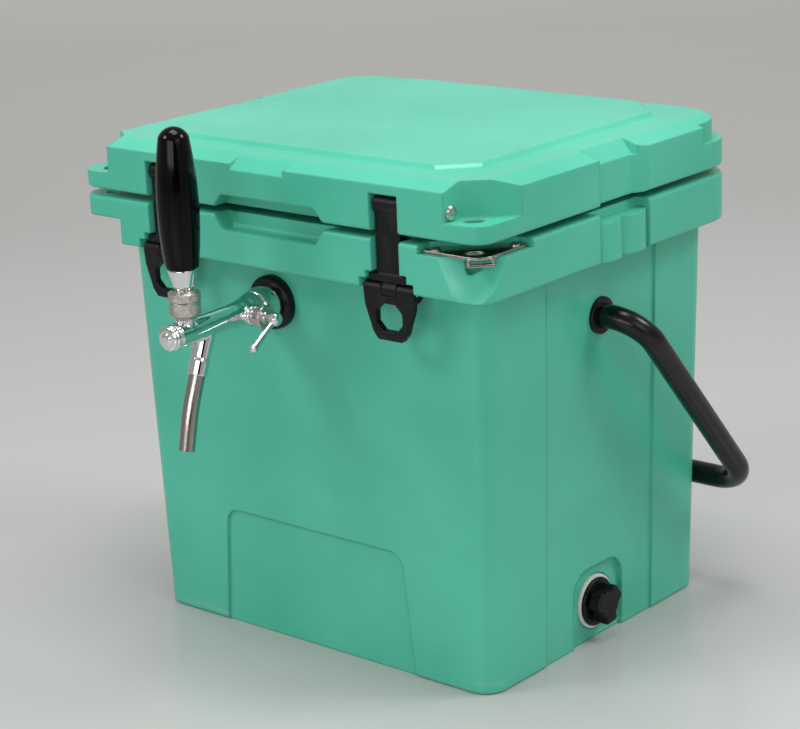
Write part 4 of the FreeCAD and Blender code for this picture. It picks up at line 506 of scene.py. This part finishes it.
# side nut: radius of the flared profile less a round flute, depth * (1 - |cos(n a / 2)|) ** 2
def flowNut():
    f = flowNutShape
    profile = rounded(f["profile"], f["edge"], 6)
    profile = np.vstack([profile, profile[:1]])
    outside = profile[:, 1:] > f["fluteAbove"]

    def flutes(h, a):
        inside = outside * np.clip((f["fluteEnd"] - h) / f["fluteFade"], 0, 1)
        return -f["fluteDepth"] * (1 - np.abs(np.cos(f["flutes"] * a / 2))) ** 2 * inside

    origin = tapPoint(-f["y"], tapPlace["z"]) + (f["start"] - tapPlace["x"]) * sideways
    grid = turnedGrid(profile, origin, sideways, 192, flutes)
    return standIn(gridPiece("flowNutFluted", grid), "flow_nut")


spoutShape = {"socketY": 0.2343, "first": math.radians(22), "last": math.radians(13.5), "socket": 0.0401,
              "start": 0.0202, "firstRun": 0.028, "lastRun": 0.0325, "bend": 0.200, "radius": 0.0067,
              "wall": 0.0008, "lip": 0.0002, "sides": 64}


# spout: a long bend between two straight runs; the surface goes down outside and back up inside,
# and its lip is the mean of both walls' last rings, a little further on
def spoutTube():
    p = spoutShape
    first = np.array([0, -math.sin(p["first"]), -math.cos(p["first"])])
    last = np.array([0, -math.sin(p["last"]), -math.cos(p["last"])])
    top = np.array([0, -p["socketY"], tapPlace["z"]])
    bend = top + first * (p["socket"] + p["firstRun"])
    level = arcRoute([top + first * p["start"], bend, bend + last * p["lastRun"]], [p["bend"]], 40)
    path = np.array([tapPoint(y, z) for x, y, z in level])
    outer = tubeGrid(path, p["radius"], sideways, p["sides"])
    inner = tubeGrid(path, p["radius"] - p["wall"], sideways, p["sides"])[::-1]
    onward = (path[-1] - path[-2]) / np.linalg.norm(path[-1] - path[-2])
    lip = outer[-1:] * 0.5 + inner[:1] * 0.5 + onward * p["lip"]
    grid = np.vstack([outer, lip, inner, outer[:1]])
    return standIn(gridPiece("spoutPipe", grid, sharp=50), "spout_tube", finish="spout")


tapHandle()
upperRing()
ferruleCone()
noseCap()
bonnetNut()
flowNut()
spoutTube()
print("stage: tap")

# new name, CAD node, voxel in metres, smoothing passes
castings = [("faucetCasting", "faucet_body", 0.00048, 8),
            ("strapRight", "latch_strap_right", 0.0007, 5),
            ("strapLeft", "latch_strap_left", 0.0007, 5),
            ("tabRight", "latch_tab_right", 0.0006, 5),
            ("tabLeft", "latch_tab_left", 0.0006, 5),
            ("flowLeverCast", "flow_lever", 0.0003, 5),
            ("drainKnob", "drain_cap", 0.0004, 5),
            ("drainFlange", "drain_body", 0.0005, 4),
            ("collarRing", "coupling_collar", 0.0004, 3),
            ("cornerPlate", "lock_plate", 0.0004, 2),
            ("beerHoseOut", "outlet_hose", 0.0007, 4),
            ("beerHoseIn", "inlet_hose", 0.0007, 4),
            ("lidGasketRing", "lid_gasket", 0.0009, 2)]
for name, node, voxel, passes in castings:
    castCopy(name, node, voxel, passes)
print("stage: castings", len(castings))


carryShape = {"radius": 0.0100, "pivotZ": 0.283, "armX": 0.228, "barY": 0.1633, "drop": math.radians(48.6),
              "endX": 0.1692, "elbow": 0.030, "corner": 0.034, "sides": 48}


# carry handle: runs and arcs in one plane through the pivots, which drops backwards by an angle, so its
# normal is (0, sin drop, cos drop); both ends are closed by a ring of radius 0
def carryTube():
    c = carryShape
    barZ = c["pivotZ"] - c["barY"] * math.tan(c["drop"])
    points = [(c["endX"], 0, c["pivotZ"]), (c["armX"], 0, c["pivotZ"]), (c["armX"], c["barY"], barZ),
              (-c["armX"], c["barY"], barZ), (-c["armX"], 0, c["pivotZ"]), (-c["endX"], 0, c["pivotZ"])]
    path = arcRoute(points, [c["elbow"], c["corner"], c["corner"], c["elbow"]])
    normal = np.array([0, math.sin(c["drop"]), math.cos(c["drop"])])
    grid = tubeGrid(path, c["radius"], normal, c["sides"])
    ends = [path[:1, None] + 0 * grid[:1], grid, path[-1:, None] + 0 * grid[:1]]
    return standIn(gridPiece("carryTube", np.vstack(ends), sharp=50), "carry_handle")


carryTube()
print("stage: carry handle")

# the other CAD pieces keep their shape and take their slot's finish
for node, holder in frame["nodes"].items():
    if holder.hide_render:
        continue
    holder.data.materials.clear()
    holder.data.materials.append(finishes[slotOf[node]])
print("stage: carried-over pieces")


# the room is turned to face the camera, which looks in from the front right
viewAngle = math.radians(40.8)
roomAhead = np.array([-math.sin(viewAngle), math.cos(viewAngle), 0])
roomAcross = np.array([math.cos(viewAngle), math.sin(viewAngle), 0])

# the floor's near and far tones are painted light: a pale floor painted darker near the camera and brighter
# far off, in place of how the light falls off
floorShape = {"near": -4.0, "far": 3.2, "bend": 1.4, "top": 3.6, "halfWidth": 5,
              "nearPaintedShadeTone": (0.47, 0.475, 0.47), "farPaintedLightTone": (0.93, 0.925, 0.905),
              "paintedLightStart": 1.7, "paintedLightEnd": 4.7, "roughness": 0.22}


# floor that bends up into a wall: straight, quarter circle (far + r sin a, r - r cos a), straight
def backdrop():
    f = floorShape
    radius = f["bend"]
    angle = np.linspace(0, math.pi / 2, 24)
    along = np.concatenate([[f["near"]], f["far"] + radius * np.sin(angle), [f["far"] + radius]])
    up = np.concatenate([[0], radius - radius * np.cos(angle), [f["top"]]])
    width = np.linspace(-f["halfWidth"], f["halfWidth"], 3)
    grid = along[:, None, None] * roomAhead + width[None, :, None] * roomAcross + up[:, None, None] * upward
    mesh = gridPiece("backdrop", grid, wrapColumns=False, sharp=60)
    paint = Paint("paleFloorPaintedLight")
    # painted light: the tone goes from the darker near tone to the brighter far tone with distance from the
    # camera, in soft blotches, standing in for how the light falls off
    away = paint.along("Y") * math.cos(viewAngle) - paint.along("X") * math.sin(viewAngle)
    fade = paint.band(away + paint.grain(0.5, 3) * 0.3, f["paintedLightStart"], f["paintedLightEnd"])
    tone = paint.mixed(fade, colour(*f["nearPaintedShadeTone"]), colour(*f["farPaintedLightTone"]))
    rough = f["roughness"] + (paint.grain(0.15, 3) - 0.5) * 0.08
    mesh.data.materials.append(paint.finish({"Base Color": tone, "Roughness": rough}, {}))


wallShape = {"distance": 2.9, "halfWidth": 1.0, "low": 0.05, "high": 2.0}


# a flat dark wall behind the camera, upright and square to the view, which only the polished parts show
def darkWall():
    w = wallShape
    side = np.linspace(-w["halfWidth"], w["halfWidth"], 3)[None, :, None] * roomAcross
    rise = np.linspace(w["low"], w["high"], 3)[:, None, None] * upward
    wall = gridPiece("darkWall", roomAhead * -w["distance"] + side + rise, wrapColumns=False)
    wall.data.materials.append(blackPaint("darkCloth", 0.012, 0.8, 0.2, 0.01, 0.0001, 0.1))
    wall.visible_camera = False
    wall.visible_diffuse = False
    wall.visible_shadow = False


# metres and watts
lamps = {
    "keyLamp": {"place": (-1.2, -1.9, 2.1), "target": (0, 0, 0.25), "size": (0.9, 0.7), "power": 22},
    "fillLamp": {"place": (2.3, -0.9, 1.3), "target": (0, 0, 0.25), "size": (1.4, 1.2), "power": 8},
    "sideLamp": {"place": (1.7, 1.2, 2.3), "target": (0, 0, 0.3), "size": (1.0, 0.8), "power": 30},
    "lowLamp": {"place": (0.9, -2.6, 0.8), "target": (0, 0, 0.1), "size": (2.0, 0.8), "power": 17},
    "overLamp": {"place": (0.0, -0.1, 2.4), "target": (0, 0, 0.4), "size": (1.4, 1.0), "power": 34},
}


# a flat lamp that faces its target
def lamp(name, place, target, size, power):
    data = bpy.data.lights.new(name, "AREA")
    data.shape = "RECTANGLE"
    data.size, data.size_y = size
    data.energy = power
    holder = bpy.data.objects.new(name, data)
    scene.collection.objects.link(holder)
    holder.location = place
    direction = np.asarray(target, float) - np.asarray(place, float)
    holder.rotation_euler = Vector(direction).to_track_quat("-Z", "Y").to_euler()


roomAir = {"tone": (0.50, 0.495, 0.48), "strength": 0.72}


# even light from all around
def ambientLight():
    world = bpy.data.worlds.new("roomAir")
    scene.world = world
    world.use_nodes = True
    background = world.node_tree.nodes["Background"]
    background.inputs["Color"].default_value = colour(*roomAir["tone"])
    background.inputs["Strength"].default_value = roomAir["strength"]


cameraShape = {"eye": (1.2377, -1.4829, 0.7940), "right": (0.7647, 0.6430, -0.0425),
               "up": (-0.1550, 0.2476, 0.9564), "back": (0.6254, -0.7248, 0.2890), "lens": 104.76,
               "shift": (0.018, 0.0014), "pixels": (800, 729)}


# the camera as solved: the columns of its turn are its right, up and back directions
def photoCamera():
    data = bpy.data.cameras.new("photoCamera")
    data.lens = cameraShape["lens"]
    data.shift_x, data.shift_y = cameraShape["shift"]
    holder = bpy.data.objects.new("photoCamera", data)
    scene.collection.objects.link(holder)
    turn = Matrix([cameraShape["right"], cameraShape["up"], cameraShape["back"]]).transposed()
    holder.matrix_world = Matrix.Translation(cameraShape["eye"]) @ turn.to_4x4()
    scene.camera = holder


backdrop()
darkWall()
for name, light in lamps.items():
    lamp(name, **light)
ambientLight()
photoCamera()
scene.render.engine = "CYCLES"
scene.render.resolution_x, scene.render.resolution_y = cameraShape["pixels"]
scene.view_settings.view_transform = "Standard"
print("stage: studio")
